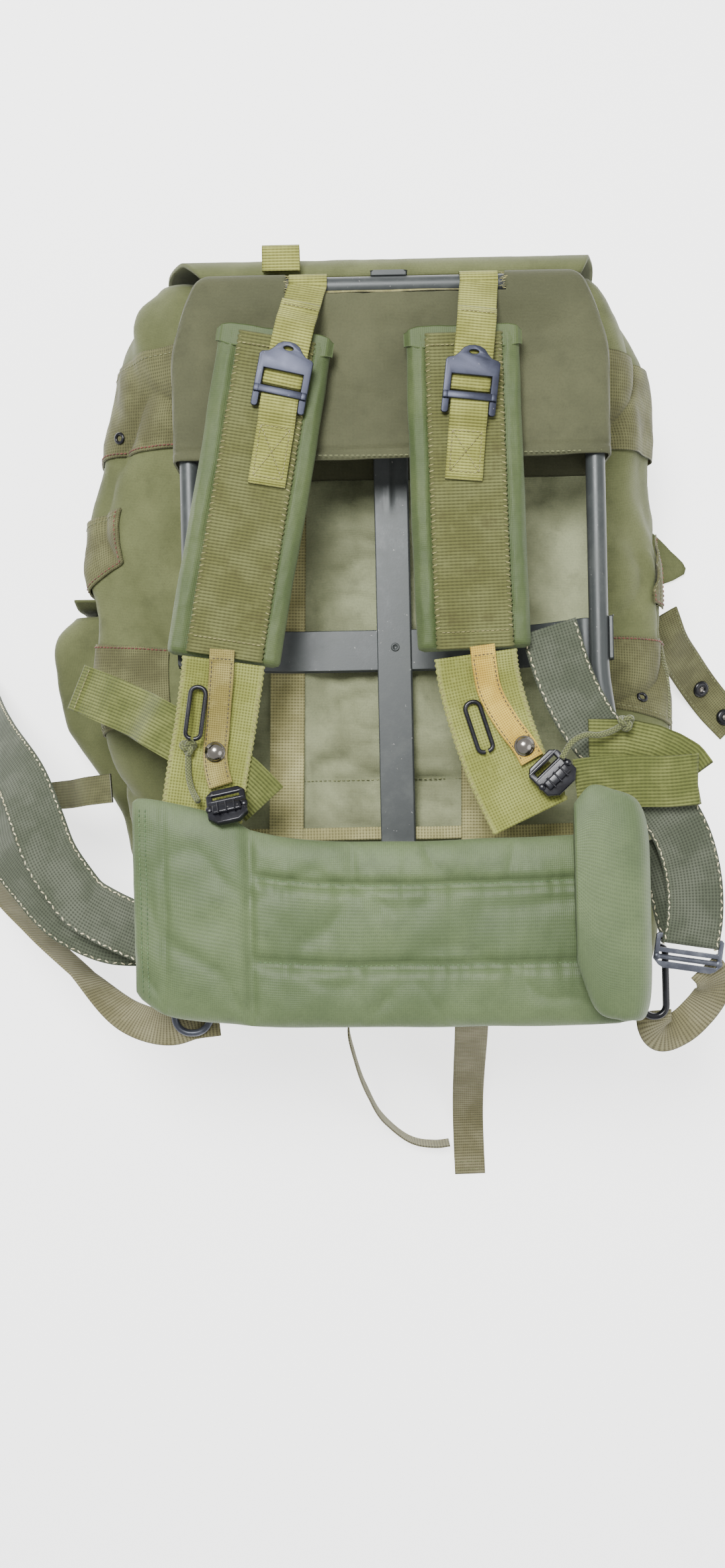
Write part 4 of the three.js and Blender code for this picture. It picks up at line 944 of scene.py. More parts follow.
def eyelet(name, centre, out, radius=4.2):
    """A rolled metal eyelet with its dark hole."""
    ring = turned_mesh([(radius * 0.45, -0.6), (radius * 0.52, 0.75), (radius * 0.75, 1.15),
                        (radius * 0.97, 0.7),
                        (radius, 0.0), (radius * 0.9, -0.5), (radius * 0.45, -0.6)], 28)
    stand(ring, centre, out, ALONG if abs(out.y) < 0.9 else RIGHT)
    return finish_piece(name, ring, finish("black enamel"))


def bag_trim():
    """Bands, patches and eyelets on the bag's sides."""
    red = Sewing()
    plain = Sewing()
    bands = [
        ("side_band_upper_right", (0, 5), (0.6, 0.6), (0.85, 0.86), 1.3),
        ("side_band_upper_left", (9, 14), (0.63, 0.62), (0.88, 0.88), 1.3),
        ("side_band_lower_right", (0, 4), (-0.2, -0.13), (0.06, 0.07), 1.3),
        ("side_band_lower_left", (10, 14), (-0.13, -0.2), (0.06, 0.09), 1.3),
        ("side_patch_right", (0, 2), (0.16, 0.17), (0.4, 0.2), 2.6),
        ("side_patch_left", (11, 14), (0.31, 0.2), (0.47, 0.43), 2.2),
    ]
    for node, angles, lower, upper, lift in bands:
        patch = "patch" in node
        place = skin_band(node + "_webbing", node, angles, lower, upper, "brown band webbing",
                                 30 if patch else 64, 30 if patch else 46, lift=lift + 0.5, wall=1.2)
        sign = 1 if surface_spots(place, [(0.5, 0.5)], 0)[0][1].dot(
            Vector(place(0.5, 0.5)) - Vector((0, 0, BACK_LEVEL * 0.5))) > 0 else -1
        line = [0.02 + 0.96 * k / 60 for k in range(61)]
        if patch:
            red.seam(surface_spots(place, [(s, 0.05) for s in line], 0.25, sign), 3.4, 2.6, 0.45)
            red.seam(surface_spots(place, [(0.05, t) for t in line], 0.25, sign), 3.4, 2.6, 0.45)
            red.seam(surface_spots(place, [(0.95, t) for t in line], 0.25, sign), 3.4, 2.6, 0.45)
            plain.seam(surface_spots(place, [(s, 0.9) for s in line], 0.25, sign), 4.0, 3.0, 0.4)
        else:
            lower_edge = "upper" in node
            red.seam(surface_spots(place, [(s, 0.035 if lower_edge else 0.965) for s in line], 0.3, sign),
                     3.0, 2.8, 0.6)
            plain.seam(surface_spots(place, [(s, 0.93 if lower_edge else 0.06) for s in line], 0.2, sign),
                       4.2, 3.1, 0.4)
        holes = {"side_band_upper_left": (0.62, 0.2), "side_band_lower_left": (0.2, 0.22),
                 "side_band_lower_right": (0.62, 0.22)}
        if node in holes:
            s, t = holes[node]
            spot, out = surface_spots(place, [(s, t)], 0.35, sign)[0]
            eyelet("eyelet_" + node, spot, out, 4.4)
        if node == "side_band_lower_right":
            for s in (0.2, 0.23, 0.26):
                plain.seam(surface_spots(place, [(s, t * 0.9 + 0.05) for t in line], 0.3, sign), 2.2, 2.0,
                           0.5)
    red.done("side_edge_stitching", finish("red-brown thread"))
    plain.done("side_seam_stitching", finish("olive thread"))
    panel = Sewing()
    panel.seam([(bag_spot(-84, math.pi / 2 - x / 330, 1.2), UP) for x in range(-118, 119, 4)], 3.6, 2.8, 0.4)
    panel.done("back_panel_seam_stitching", finish("olive thread"))


# sheets that are straight across: rows of lengthwise share, height share, left and right share
LID = Table([
    [1.024, 0.936, -0.93, 0.97],
    [1.055, 0.924, -0.98, 1.0],
    [1.092, 0.86, -1.05, 1.03],
    [1.108, 0.7, -1.15, 1.1],
    [1.112, 0.45, -1.2, 1.15],
    [1.104, 0.2, -1.24, 1.2],
    [1.07, 0.04, -1.28, 1.25],
    [1.03, 0.0074, -1.32, 1.28],
    [0.8, 0.0074, -1.42, 1.4],
    [0.55, 0.0074, -1.45, 1.52],
    [0.42, 0.0074, -1.44, 1.74],
    [0.335, 0.0074, -1.42, 1.84],
    [0.275, 0.0074, -1.4, 1.56],
], keys=2)


def sheet_cloth(name, node, table, wall, columns, rows, crumples):
    """A flat sheet of cloth folded over a run of heights."""

    def place(s, t):
        y, z, left, right = table.at(t)
        x = (left + (right - left) * s) * SPAN
        spot = Vector((x, y * REACH, z * TUBE_LEVEL))
        before, after = table.at(max(0, t - 0.01)), table.at(min(1, t + 0.01))
        slope = Vector((0, (after[0] - before[0]) * REACH, (after[1] - before[1]) * TUBE_LEVEL)).normalized()
        out = slope.cross(RIGHT)
        lifted = max(0.0,
                     crumples * (0.6 * crumple(x, spot.y, spot.z, 38, 7.0) + 0.4
                                 * crumple(x, spot.y, spot.z, 15)))
        if spot.z > 6:
            spot += out * lifted * 0.6
        spot.z = max(spot.z + (0.2 if spot.z < 6 else 0), wall / 2 + 0.05)
        return spot

    made = cloth_grid(columns, rows, place)
    area = sum(f.calc_area() for f in made.faces) * MM * MM
    piece = finish_piece(name, made, finish("olive nylon duck"), node)
    solid = piece.modifiers.new("Cloth thickness", "SOLIDIFY")
    solid.thickness = wall * MM
    solid.offset = 0
    widths = [(row[3] - row[2]) * SPAN * MM for row in table.rows]
    spine = [Vector((0, row[0] * REACH, row[1] * TUBE_LEVEL)) for row in table.rows]


# pockets, like the bag: share along, left and right of the loop, low and high of the back's level
POCKET_HEIGHT = 0.385
FLOOR_SHARE = 2.2 / BACK_LEVEL
POCKETS = {
    "left": [[-0.81, -1.47, -0.72, 0.04, 0.3], [-0.77, -1.5, -0.7, 0, POCKET_HEIGHT],
             [-0.45, -1.6, -0.7, 0, POCKET_HEIGHT], [-0.3, -1.75, -0.7, 0, POCKET_HEIGHT],
             [-0.18, -1.9, -0.7, 0, POCKET_HEIGHT], [-0.15, -1.93, -0.7, FLOOR_SHARE, POCKET_HEIGHT],
             [0.03, -1.99, -0.7, FLOOR_SHARE, POCKET_HEIGHT], [0.14, -1.98, -0.7, FLOOR_SHARE, POCKET_HEIGHT],
             [0.205, -1.88, -0.72, 0.045, 0.34]],
    "center": [[-0.81, -0.62, 0.49, 0.04, 0.3], [-0.77, -0.66, 0.53, 0, POCKET_HEIGHT],
               [-0.18, -0.66, 0.53, 0, POCKET_HEIGHT], [-0.15, -0.66, 0.53, FLOOR_SHARE, POCKET_HEIGHT],
               [0.14, -0.66, 0.53, FLOOR_SHARE, POCKET_HEIGHT], [0.205, -0.64, 0.51, 0.045, 0.34]],
    "right": [[-0.81, 0.59, 1.38, 0.04, 0.3], [-0.77, 0.57, 1.42, 0, POCKET_HEIGHT],
              [-0.18, 0.57, 1.54, 0, POCKET_HEIGHT], [-0.15, 0.57, 1.54, FLOOR_SHARE, POCKET_HEIGHT],
              [0.14, 0.57, 1.54, FLOOR_SHARE, POCKET_HEIGHT], [0.205, 0.59, 1.48, 0.045, 0.34]],
}
# the flaps' left and right edges, in shares of SPAN
FLAPS = {"left": (-1.84, -0.72), "center": (-0.64, 0.51), "right": (0.59, 1.46)}


def pocket(side):
    """A front pocket under the bag, squared off, with its flap."""
    table = Table(POCKETS[side])
    start, end = POCKETS[side][0][0], POCKETS[side][-1][0]

    def section(y, angle):
        _, left, right, low, high = table.at((y / REACH - start) / (end - start))
        c, s = math.cos(angle), math.sin(angle)
        x = (left + right) / 2 * SPAN + (right - left) / 2 * SPAN * power(c, 0.45)
        floor = low * BACK_LEVEL
        z = (low + high) / 2 * BACK_LEVEL + (high - low) / 2 * BACK_LEVEL * power(s, 0.45)
        return Vector((x, y, floor if abs(z - floor) < 3 else z))

    def place(s, t):
        end_share = 0.05
        y = (start + (end - start) * max(0.0, (t - end_share) / (1 - end_share))) * REACH
        spot = section(y, ring_angle(y, s, section))
        _, left, right, low, high = table.at((y / REACH - start) / (end - start))
        middle = Vector(((left + right) / 2 * SPAN, y, (low + high) / 2 * BACK_LEVEL))
        away = (spot - middle).normalized()
        depth = (1.6 * crumple(spot.x, spot.y, spot.z, 30, 1.7)
                 + 0.7 * crumple(spot.x, spot.y, spot.z, 12) - 1.2)
        if spot.z > 4:
            spot += away * depth
        if t < end_share:
            spot = (middle - Vector((0, 1.2, 0))).lerp(spot, (t / end_share) ** 0.7)
        spot.z = max(spot.z, 0.3)
        return spot

    made = cloth_grid(96, 74, place, closed=True)
    bmesh.ops.recalc_face_normals(made, faces=made.faces)
    thicken(made, 1.9)
    finish_piece(f"pocket_{side}_cloth", made, finish("olive nylon duck"), f"pocket_{side}")
    left, right = FLAPS[side]
    level = 0.9 / TUBE_LEVEL
    flap = Table([[0.252, 0.2845, left, right], [0.232, 0.22, left, right], [0.229, 0.1, left, right],
                  [0.222, 0.03, left, right], [0.2, level, left, right], [0, level, left, right],
                  [-0.1, level, left, right], [-0.135, level, left + 0.1, right - 0.1]], keys=2)
    sheet_cloth(f"pocket_flap_{side}_cloth", f"pocket_flap_{side}", flap, 1.6, 60, 60, 1.0)


# envelope over the frame's top: share along, half width in shares of SPAN, rise of its underside
SLEEVE = Table([[0.512, 1.075, 0], [0.65, 1.075, 0.12], [0.8, 1.072, 0.25], [0.905, 1.02, 0.34],
                [0.965, 0.975, 0.385], [1.011, 0.93, 0.39]])
SLEEVE_FLOOR = BACK_LEVEL + 3.7
SLEEVE_CLOTH_SIZE = (720, 150)
# how much a rise of 1 lifts the underside, and the radius of the nose over the top tube
SLEEVE_LIFT = 94
NOSE_RADIUS = 10.0
# the window's left, right and lower edges
WINDOW = (-0.505 * SPAN, 0.57 * SPAN, 0.946 * REACH)


def sleeve_place(s, t):
    """The envelope: t runs up the frame to its rounded nose, s from the left side over the top."""
    nose = 0.9
    low_y, high_y = 0.512 * REACH, 1.011 * REACH
    if t < nose:
        y = low_y + (high_y - NOSE_RADIUS - low_y) * t / nose
        turn = 0.0
    else:
        turn = (t - nose) / (1 - nose) * math.pi / 2
        y = high_y - NOSE_RADIUS + NOSE_RADIUS * math.sin(turn)
    _, half, rise = SLEEVE.at((y / REACH - 0.512) / (1.011 - 0.512))
    low = SLEEVE_FLOOR + rise * SLEEVE_LIFT
    high = SLEEVE_TOP
    middle = (low + high) / 2
    tall = (high - low) / 2 * math.cos(turn) + 0.02
    x_half = half * SPAN - (1 - math.cos(turn)) * 4
    soft = min(6.0, tall * 0.98)
    straight_x, straight_z = 2 * (x_half - soft), 2 * (tall - soft)
    arc = math.pi / 2 * soft
    goal = s * (2 * straight_x + 2 * straight_z + 4 * arc)
    # from the middle of the left side over the top to the right and back underneath
    pieces = [(straight_z / 2, "left_up"), (arc, "c1"), (straight_x, "top"), (arc, "c2"),
              (straight_z, "right"),
              (arc, "c3"), (straight_x, "under"), (arc, "c4"), (straight_z / 2, "left_low")]
    spot = None
    for long, kind in pieces:
        if goal <= long + 1e-6 or kind == "left_low":
            g = goal / max(1e-6, long)
            a = g * math.pi / 2
            cx, cz = x_half - soft, tall - soft
            spot = {
                "left_up": (-x_half, goal),
                "c1": (-cx - soft * math.cos(a), cz + soft * math.sin(a)),
                "top": (-cx + goal, tall),
                "c2": (cx + soft * math.sin(a), cz + soft * math.cos(a)),
                "right": (x_half, cz - goal),
                "c3": (cx + soft * math.cos(a), -cz - soft * math.sin(a)),
                "under": (cx - goal, -tall),
                "c4": (-cx - soft * math.sin(a), -cz - soft * math.cos(a)),
                "left_low": (-x_half, -cz + goal),
            }[kind]
            break
        goal -= long
    x, z = spot[0], middle + spot[1]
    if spot[1] > 0:
        inside = ease(SPAN - 9 - abs(x), 0, 22) * ease(238 - y, 0, 22)
        dip = (2.4 * crumple(x, y, 0, 46, 3.3) + 1.6 * folds(x * 0.8, y, 0, 33, 2.1)
               + 0.9 * crumple(x, y, 0, 14, 1.0) - 2.6)
        z += inside * dip + 0.35 * crumple(x, y, 0, 20, 5.0) * (1 - inside) - 0.3 * (1 - inside)
        hem = ease(136.0 - y, 0, 1.2)
        z += 1.1 * hem * (1 - 0.6 * ease(131.5 - y, 0, 1.5)) - 1.3 * math.exp(-((y - 137.2) / 0.9) ** 2)
    y += 0.9 * crumple(x, 0, spot[1], 60, 9.0) * ease(140 - y, 0, 10)
    return Vector((x, y, z))


def sleeve():
    """Cuts the window out of the envelope and adds its hem and frayed edges."""
    made = cloth_grid(150, 84, sleeve_place, size=SLEEVE_CLOTH_SIZE, closed=True)
    left, right, low = WINDOW
    for point, normal in (((left, 0, 0), RIGHT), ((right, 0, 0), RIGHT), ((0, low, 0), ALONG),
                          ((0, 0, 194), UP)):
        bmesh.ops.bisect_plane(made, geom=made.verts[:] + made.edges[:] + made.faces[:], dist=0.01,
                               plane_co=point,
                               plane_no=normal)
    inside = [f for f in made.faces if left < f.calc_center_median().x < right
              and f.calc_center_median().y > low
              and f.calc_center_median().z > 194]
    bmesh.ops.delete(made, geom=inside, context="FACES")
    for vert in made.verts:
        if vert.is_boundary and vert.co.y > low - 0.1 and vert.co.z > 194.1:
            if abs(vert.co.x - left) < 0.1 or abs(vert.co.x - right) < 0.1:
                vert.co.x += 2.2 * crumple(vert.co.y * 3, vert.co.z * 3, vert.co.x, 9, 3.0)
            else:
                vert.co.y += 0.8 * crumple(vert.co.x, 0, 0, 11, 4.0)
    bmesh.ops.recalc_face_normals(made, faces=made.faces)
    thicken(made, 1.5)
    finish_piece("frame_sleeve_cloth", made, finish("worn brown duck"), "frame_sleeve")

    sewn = Sewing()
    line = []
    for k in range(150):
        x = -140 + 280 * k / 149
        line.append((Vector((x, 132.2 + 0.9 * crumple(x, 0, 5, 60, 9.0), SLEEVE_TOP + 0.35)), UP))
    sewn.seam(line, 3.6, 2.7, 0.38)
    sewn.done("sleeve_hem_stitching", finish("olive thread"))
    # raw edges of the inner layers that show between the tube and the front edge of the window
    for name, y, z, seed in (("upper", 245.9, 208.4, 1.0), ("lower", 243.0, 209.6, 6.0)):
        route = Route([(x, y + 0.7 * crumple(x, seed * 9, 0, 22, seed),
                        z + 0.5 * crumple(x, 0, seed * 9, 30, seed))
                       for x in range(-62, 73, 3)], side=(0, -0.94, 0.34), step=2.5)
        lay_strap(f"window_{name}_layer", (), route, 2.4, 0.8, "khaki thread", "sleeve_cloth", 4)
    loose = bmesh.new()
    for k in range(34):
        right_end = k % 2
        x0 = WINDOW[right_end] + (2 if right_end else -2)
        y0 = 241 + (k * 7.3) % 13
        z0 = 212.6 if y0 < 250 else 209.5
        lean = crumple(k * 3.1, 0, 0, 2, 4.0)
        long = 3 + 4.5 * abs(crumple(0, k * 5.3, 0, 3, 2.0))
        away = -1 if right_end else 1
        line = [Vector((x0 + away * long * q * 1.2, y0 + lean * 5 * q * q, z0 + 0.7 * math.sin(q * 3.0)))
                for q in
                (0, 0.25, 0.5, 0.75, 1.0)]
        join_into(loose, rod_mesh(line, 0.22, 5, 1.2))
    finish_piece("window_frayed_threads", loose, finish("khaki thread"))


# straps on the back and top


def lay_strap(name, node, route, width, thick, material, slot, columns=12, **shape):
    """A strap along a route, as a piece; node is the solid that it replaces, if there is one."""
    finish_piece(name, strap_mesh(route, width, thick, columns, **shape), finish(material), node)


def plain_strap(name, node, points, width, thick, material, slot, side=None, tilt=None, face=1, step=1.6,
                **shape):
    """A strap along points in millimetres; gives its route back for the seams."""
    route = Route(points, side=side, tilt=tilt, face=face, step=step)
    lay_strap(name, node, route, width, thick, material, slot, step=step, **shape)
    return route


def back_straps():
    """Two webbings down the back panel, the panel's hem and the carry loop."""
    sewn = Sewing()
    for side, (top, bottom) in zip(("left", "right"), WEBBING_LINES):
        points = []
        for k in range(41):
            share = k / 40
            y = 126.5 + (-193 - 126.5) * share
            x = SPAN * (top + (bottom - top) * min(1, (126.5 - y) / 276))
            points.append((x, y, BACK_LEVEL + GAP + WEBBING / 2 - 0.4 * ease(-y, 150, 190)))
        route = plain_strap(f"back_webbing_{side}_strap", f"back_webbing_{side}", points, STRAP_WIDTH - 1,
                               WEBBING,
                               "khaki back webbing", "back_webbing", side=(1, 0, 0), face=-1,
                               swell=lambda s, t, along,
                               aside: 0.3 * crumple(aside, along, 0, 30, 2.0) - 0.15)
        for aside in (-10.2, 10.2):
            sewn.on(route, aside, 3, route.length - 3, 0.95)
    hem = Route([(x, -122.5 + 0.8 * crumple(x, 0, 0, 40, 3.0), BACK_LEVEL + 0.9)
                 for x in range(-128, 129, 8)],
                side=(0, 1, 0), step=2.0)
    lay_strap("back_hem_webbing", (), hem, 9, 0.9, "khaki back webbing", "back_webbing", 6)
    sewn.done("back_webbing_stitching", finish("olive thread"))
    x = -0.53 * SPAN
    points = smooth([(x, 263.5, 194.2), (x, 270, 194.6), (x, 276.5, 195.4), (x, 279.2, 198),
                     (x, 276.5, 200.6), (x, 269, 201.3), (x, 261, 201.2)], per_piece=10)
    plain_strap("carry_loop_strap", "carry_loop", points, STRAP_WIDTH, HEAVY, "khaki strap webbing",
                "khaki_webbing",
                side=(1, 0, 0), face=-1)


# frame


def tube_line():
    """The loop's centreline, narrow at the shoulders and flared at the hips."""
    z = TUBE_LEVEL
    right = [(GAP / 2, BOTTOM_AXIS, z), (158, BOTTOM_AXIS, z), (158, BOTTOM_AXIS * 0.72, z),
             (SPAN, -0.06 * REACH, z), (SPAN, TOP_AXIS, z)]
    left = [(-x, y, z) for x, y, z in reversed(right)]
    return rounded([*right, *left], [42, 110, 150, 45, 45, 150, 110, 42], 20)


def soften(piece, width_mm):
    """Rounds a piece's hard edges off, as wear and paint do."""
    bevel = piece.modifiers.new("Worn edges", "BEVEL")
    bevel.width = width_mm * MM
    bevel.segments = 3
    bevel.limit_method = "ANGLE"
    bevel.angle_limit = math.radians(40)


def flat_bar(name, node, ends, level, width, along, side, flat, face, swell=None):
    """A flat bar bent down between two tubes and hooked round each of them."""
    grip = TUBE_RADIUS + GAP + 1.5

    def hook(axis, sign):
        return [(axis + sign * grip * math.cos(a), TUBE_LEVEL + grip * math.sin(a))
                for a in (-math.pi / 2 + k / 12 * math.pi * 0.62 for k in range(13))]

    rise = TUBE_LEVEL - grip
    middle = [(p.x, p.y) for p in rounded(
        [(ends[0] + 9, rise, 0), (flat[0], level, 0), (flat[1], level, 0), (ends[1] - 9, rise, 0)], [70, 70])]
    profile = [*reversed(hook(ends[0], -1)), *middle, *hook(ends[1], 1)]
    route = Route([along(s, z) for s, z in profile], side=side, face=face, step=2.0)
    made = strap_mesh(route, width, 3.0, 12, swell=swell, step=2.2)
    piece = finish_piece(name, made, finish("satin frame paint"), node, sharp=45)
    soften(piece, 0.7)


def frame_metal():
    """The bent tube, its two flat bars with their rivet, and both corner loops."""
    finish_piece("frame_tube_bent", rod_mesh(tube_line(), TUBE_RADIUS, 28, 3.0), finish("satin frame paint"),
                 "frame_tube", sharp=50)

    def pressed(s, t, along, aside):
        length = ease(along, 358.4, 375.2) * (1 - ease(along, 481.6, 498.4))
        return 0.9 * math.exp(-((aside + 1.4) / 1.5) ** 2) * length

    flat_bar("upright_bar_painted", "upright_bar", (BOTTOM_AXIS, TOP_AXIS), UPRIGHT_LEVEL, 24,
             lambda s, z: (0, s, z), (1, 0, 0), (BOTTOM_AXIS + 92, REACH * 0.49), -1, pressed)
    flat_bar("cross_bar_painted", "cross_bar", (-SPAN, SPAN), CROSS_LEVEL, 29, lambda s,
             z: (s, REACH * 0.033, z),
             (0, 1, 0), (-SPAN * 0.66, SPAN * 0.66), 1)
    rivet = turned_mesh([(0.0, 0.15), (1.4, 0.2), (1.7, 0.9), (2.3, 1.15), (2.9, 0.8), (3.1, 0.0),
                         (2.0, -0.4)], 28)
    stand(rivet, (0.8, REACH * 0.033 + 1.5, UPRIGHT_LEVEL + 1.5), UP, ALONG)
    finish_piece("bar_rivet", rivet, finish("satin frame paint"))
    left = [Vector(p) + Vector((-143.5, -228, 195.4)) for p in rounded(
        [(-8, 0, 0), (-12, -2, 0), (-12, -26, 0), (12, -26, 0), (12, -2, 0), (8, 0, 0)], [3, 11, 11, 3])]
    finish_piece("corner_loop_left_wire", rod_mesh(left, 2.4, 16, 1.0), finish("grey wire enamel"),
                 "corner_loop_left", sharp=60)
    right = [Vector(p) + Vector((170.7, -203, 196.7)) for p in rounded(
        [(-3, 2, 0), (-8, 0, 0), (-8, -46, 0), (8, -46, 0), (8, 0, 0), (3, 2, 0)], [3, 7.5, 7.5, 3])]
    finish_piece("corner_loop_right_wire", rod_mesh(right, 2.4, 16, 1.0), finish("black enamel"),
                 "corner_loop_right", sharp=60)


# harness: routes in millimetres, as in the solids. face is the webbing on the pad and lower the one below
# it; tube is where the top strap crosses the top tube, free the share at which its loose end stops, snap the
# eighth of the pull tab where the snap sits; clip is the release buckle and hook the wire beside the tab
PAD_MID = (PAD_BOTTOM + PAD_TOP) / 2
FACE = PAD_WEBBING_TOP - 0.9
RIB = RIBBED_LEVEL
LOW = LOWER_LEVEL
SIDES = {
    "left": dict(
        pad=[(-75, 212, PAD_MID), (-76.5, 203, PAD_MID), (-90.5, 122.5, PAD_MID), (-103, 60, PAD_MID),
             (-113.5, 4, PAD_MID), (-114.8, -4, PAD_MID)],
        face=[(-74, 207, FACE), (-90, 122.5, FACE), (-102, 60, FACE), (-113.2, -2, FACE)],
        lower=[(-113.7, -4.6, 226.8), (-115.2, -14, 223.5), (-117.5, -26, 220.6), (-122.5, -52, LOW),
               (-127.5, -78, LOW), (-131, -100, LOW), (-133, -114, LOW)],
        tube=-54, buckle=(-71, 175), free=0.905, tab_end=(-83, 109),
        release=[(-113.8, 2.7, 231.2), (-115.2, -13, 228.2), (-117, -27, 224.2), (-119.5, -47, 219),
                 (-121.5, -66, 218), (-120.5, -77, 218.4), (-118, -86, 220.2)],
        clip=(-113, -98.5, 231), clip_turn=0.2, clip_tilt=-35, snap=6, hook=(-132.8, -38, 226),
        hook_turn=-0.15,
        ribbed=[(-228, -13, 150), (-202, -24, 172), (-178, -35, 188), (-164, -42.5, 208), (-152, -49.5, RIB),
                (-140, -57, RIB), (-124, -68, RIB), (-108, -80, RIB), (-98, -90, RIB), (-90, -99, RIB)],
        cord=[(-139, -60, 218.4), (-139.5, -70, 217.6), (-139.2, -80, 218.2), (-136.5, -89, 222),
              (-132, -96, 228.5)],
        pull="brown pull tab"),
    "right": dict(
        pad=[(47.5, 212, PAD_MID), (47.6, 203, PAD_MID), (48.5, 122.5, PAD_MID), (49.5, 60, PAD_MID),
             (51, 8, PAD_MID), (51.2, 0, PAD_MID)],
        face=[(47.5, 207, FACE), (48.5, 122.5, FACE), (49.5, 60, FACE), (51.1, 0.3, FACE)],
        lower=[(51.3, -3.4, 226.8), (52.6, -14, 224), (55, -26, 222), (62, -52, 221.5), (71, -78, 221.5),
               (80, -99, 222.5), (85.5, -111, 224.5)],
        tube=60, buckle=(51, 170), free=0.875, tab_end=(45.5, 110),
        release=[(55.2, 2, 230), (56.8, -11, 228), (60.4, -28.3, 225), (71, -48.3, 224.2),
                 (82.8, -65.3, 224.6),
                 (87.2, -73.3, 224.8)],
        clip=(99, -82, 230.7), clip_turn=0.75, clip_tilt=-8, snap=7, hook=(52.6, -51, 224.6), hook_turn=0.3,
        ribbed=[(115, -90.5, 227.8), (124, -89.5, 226), (138, -89, 223), (156.8, -88.9, 221),
                (178, -89.5, 219),
                (196, -88.5, 217.6)],
        cord=[(104.5, -73, 236), (112, -62.5, 233.4), (121, -58, 230.5), (131, -58, 227.5), (141, -55, 224.5),
              (149.5, -50, 222)],
        pull="tan pull tab"),
}


def shoulder_pad(side, facts):
    """Foam in a cover with raised margins on both sides of the webbing."""
    route = Route(smooth(facts["pad"]), step=2.0)
    long = route.length

    def place(s, t):
        end = min(t, 1 - t) * long
        fade = math.sqrt(max(0.0, 1 - (1 - min(1.0, end / 5.5)) ** 2))
        angle = math.tau * s
        c, sn = math.cos(angle), math.sin(angle)
        half_width = 37.5 - 3.2 * (1 - fade)
        x = half_width * power(c, 0.42)
        h = 6.0 * power(sn, 0.6) * (0.25 + 0.75 * fade)
        along = t * long
        margin = ease(abs(x), 24.5, 28.5) * (1 - ease(abs(x), 33, 37.5))
        if sn > 0:
            h += margin * fade * (2.1 + 0.9 * crumple(along, x * 3, 0, 17, 3.0) + 0.5
                                  * crumple(along, x, 9, 5, 1.0))
            h -= 0.5 * (1 - ease(abs(x), 22, 25)) * fade
        x += 0.8 * crumple(along, 40 * sn, x, 34, 6.0) * abs(c)
        if t in (0, 1):
            x, h = x * 0.96, h * 0.05
        return route.at(along, x, h)

    made = cloth_grid(88, 132, place, size=(176, long), closed=True, capped=True)
    bmesh.ops.recalc_face_normals(made, faces=made.faces)
    piece = finish_piece(f"shoulder_pad_{side}_padding", made, finish("green pad nylon"),
                         f"shoulder_pad_{side}")

    # the cover's top end, turned over the pad and tucked at both corners
    top = route.axes(4.0)
    across = top[2]
    centre = route.at(7.2)
    line = []
    for k in range(49):
        x = -38.6 + 77.2 * k / 48
        drop = 5.0 * ease(abs(x), 34.8, 38.6)
        line.append(centre + across * x + UP * (6.9 - drop + 0.35 * crumple(x, 0, 0, 12, 5.0)))
    fold = Route(line, side=top[1], step=1.2)

    def tuck(s, t, along, aside):
        edge = min(along, fold.length - along)
        return -5.5 * (s - 0.5) * (1 - ease(edge, 0, 13)) + 0.6 * crumple(along, aside, 0, 15, 8.0)

    lay_strap(f"pad_end_fold_{side}", (), fold, 14.5, 0.9, "green pad nylon", "pad_nylon", shift=tuck,
              step=1.2)


def pad_webbing(side, facts, sewn):
    """The wide webbing on the pad, and the paler one below it."""
    face = Route(smooth(facts["face"]), step=1.5)

    def swell(s, t, along, aside):
        hem = 0.9 * ease(along, face.length - 12.5, face.length - 11) + 0.55 * (1 - ease(along, 8.5, 10))
        quilt = -0.35 * (1 - ease(abs(aside), 21, 23.5)) + 0.3 * crumple(aside, along, 0, 24, 4.0)
        return hem + quilt * 0.8

    def teeth(s, t, along, aside):
        return math.copysign(1, aside) * ease(abs(aside), 23.2,
                                              25) * (0.7 * math.sin(along * math.tau / 3.3) + 0.5
                                                     * crumple(along, 0, aside, 4.0, 2.0))

    lay_strap(f"pad_webbing_{side}_strap", f"pad_webbing_{side}", face, 50, HEAVY, "khaki pad webbing",
              "khaki_webbing", 24, swell=swell, shift=teeth, step=1.0)
    for sign in (-1, 1):
        sewn.edging(face, sign * 23.766, 1.0, 4.1, int(face.length / 4.1), lambda k: (sign, 0.35), long=3.4,
                    thick=0.5)
    sewn.across(face, face.length - 10.8, -22, 22, 2.0, pitch=3.2, long=2.6)
    sewn.across(face, 8.2, -22, 22, 1.6, pitch=3.2, long=2.6)
    low = Route(smooth(facts["lower"]), step=1.5)

    def lower_teeth(s, t, along, aside):
        return math.copysign(1, aside) * ease(abs(aside), 25, 27) * 0.5 * math.sin(along * math.tau / 3.6)

    lay_strap(f"lower_webbing_{side}_strap", f"lower_webbing_{side}", low, 54, HEAVY, "pale lower webbing",
              "khaki_webbing", 22, shift=lower_teeth, step=1.1,
              swell=lambda s, t, along, aside: 0.25 * crumple(aside, along, 0, 26, 9.0))
    for sign in (-1, 1):
        sewn.edging(low, sign * 25.704, 1.0, 3.6, int(low.length / 3.6) - 1, lambda k: (sign, 0.5), first=3,
                    long=3.0, thick=0.45)


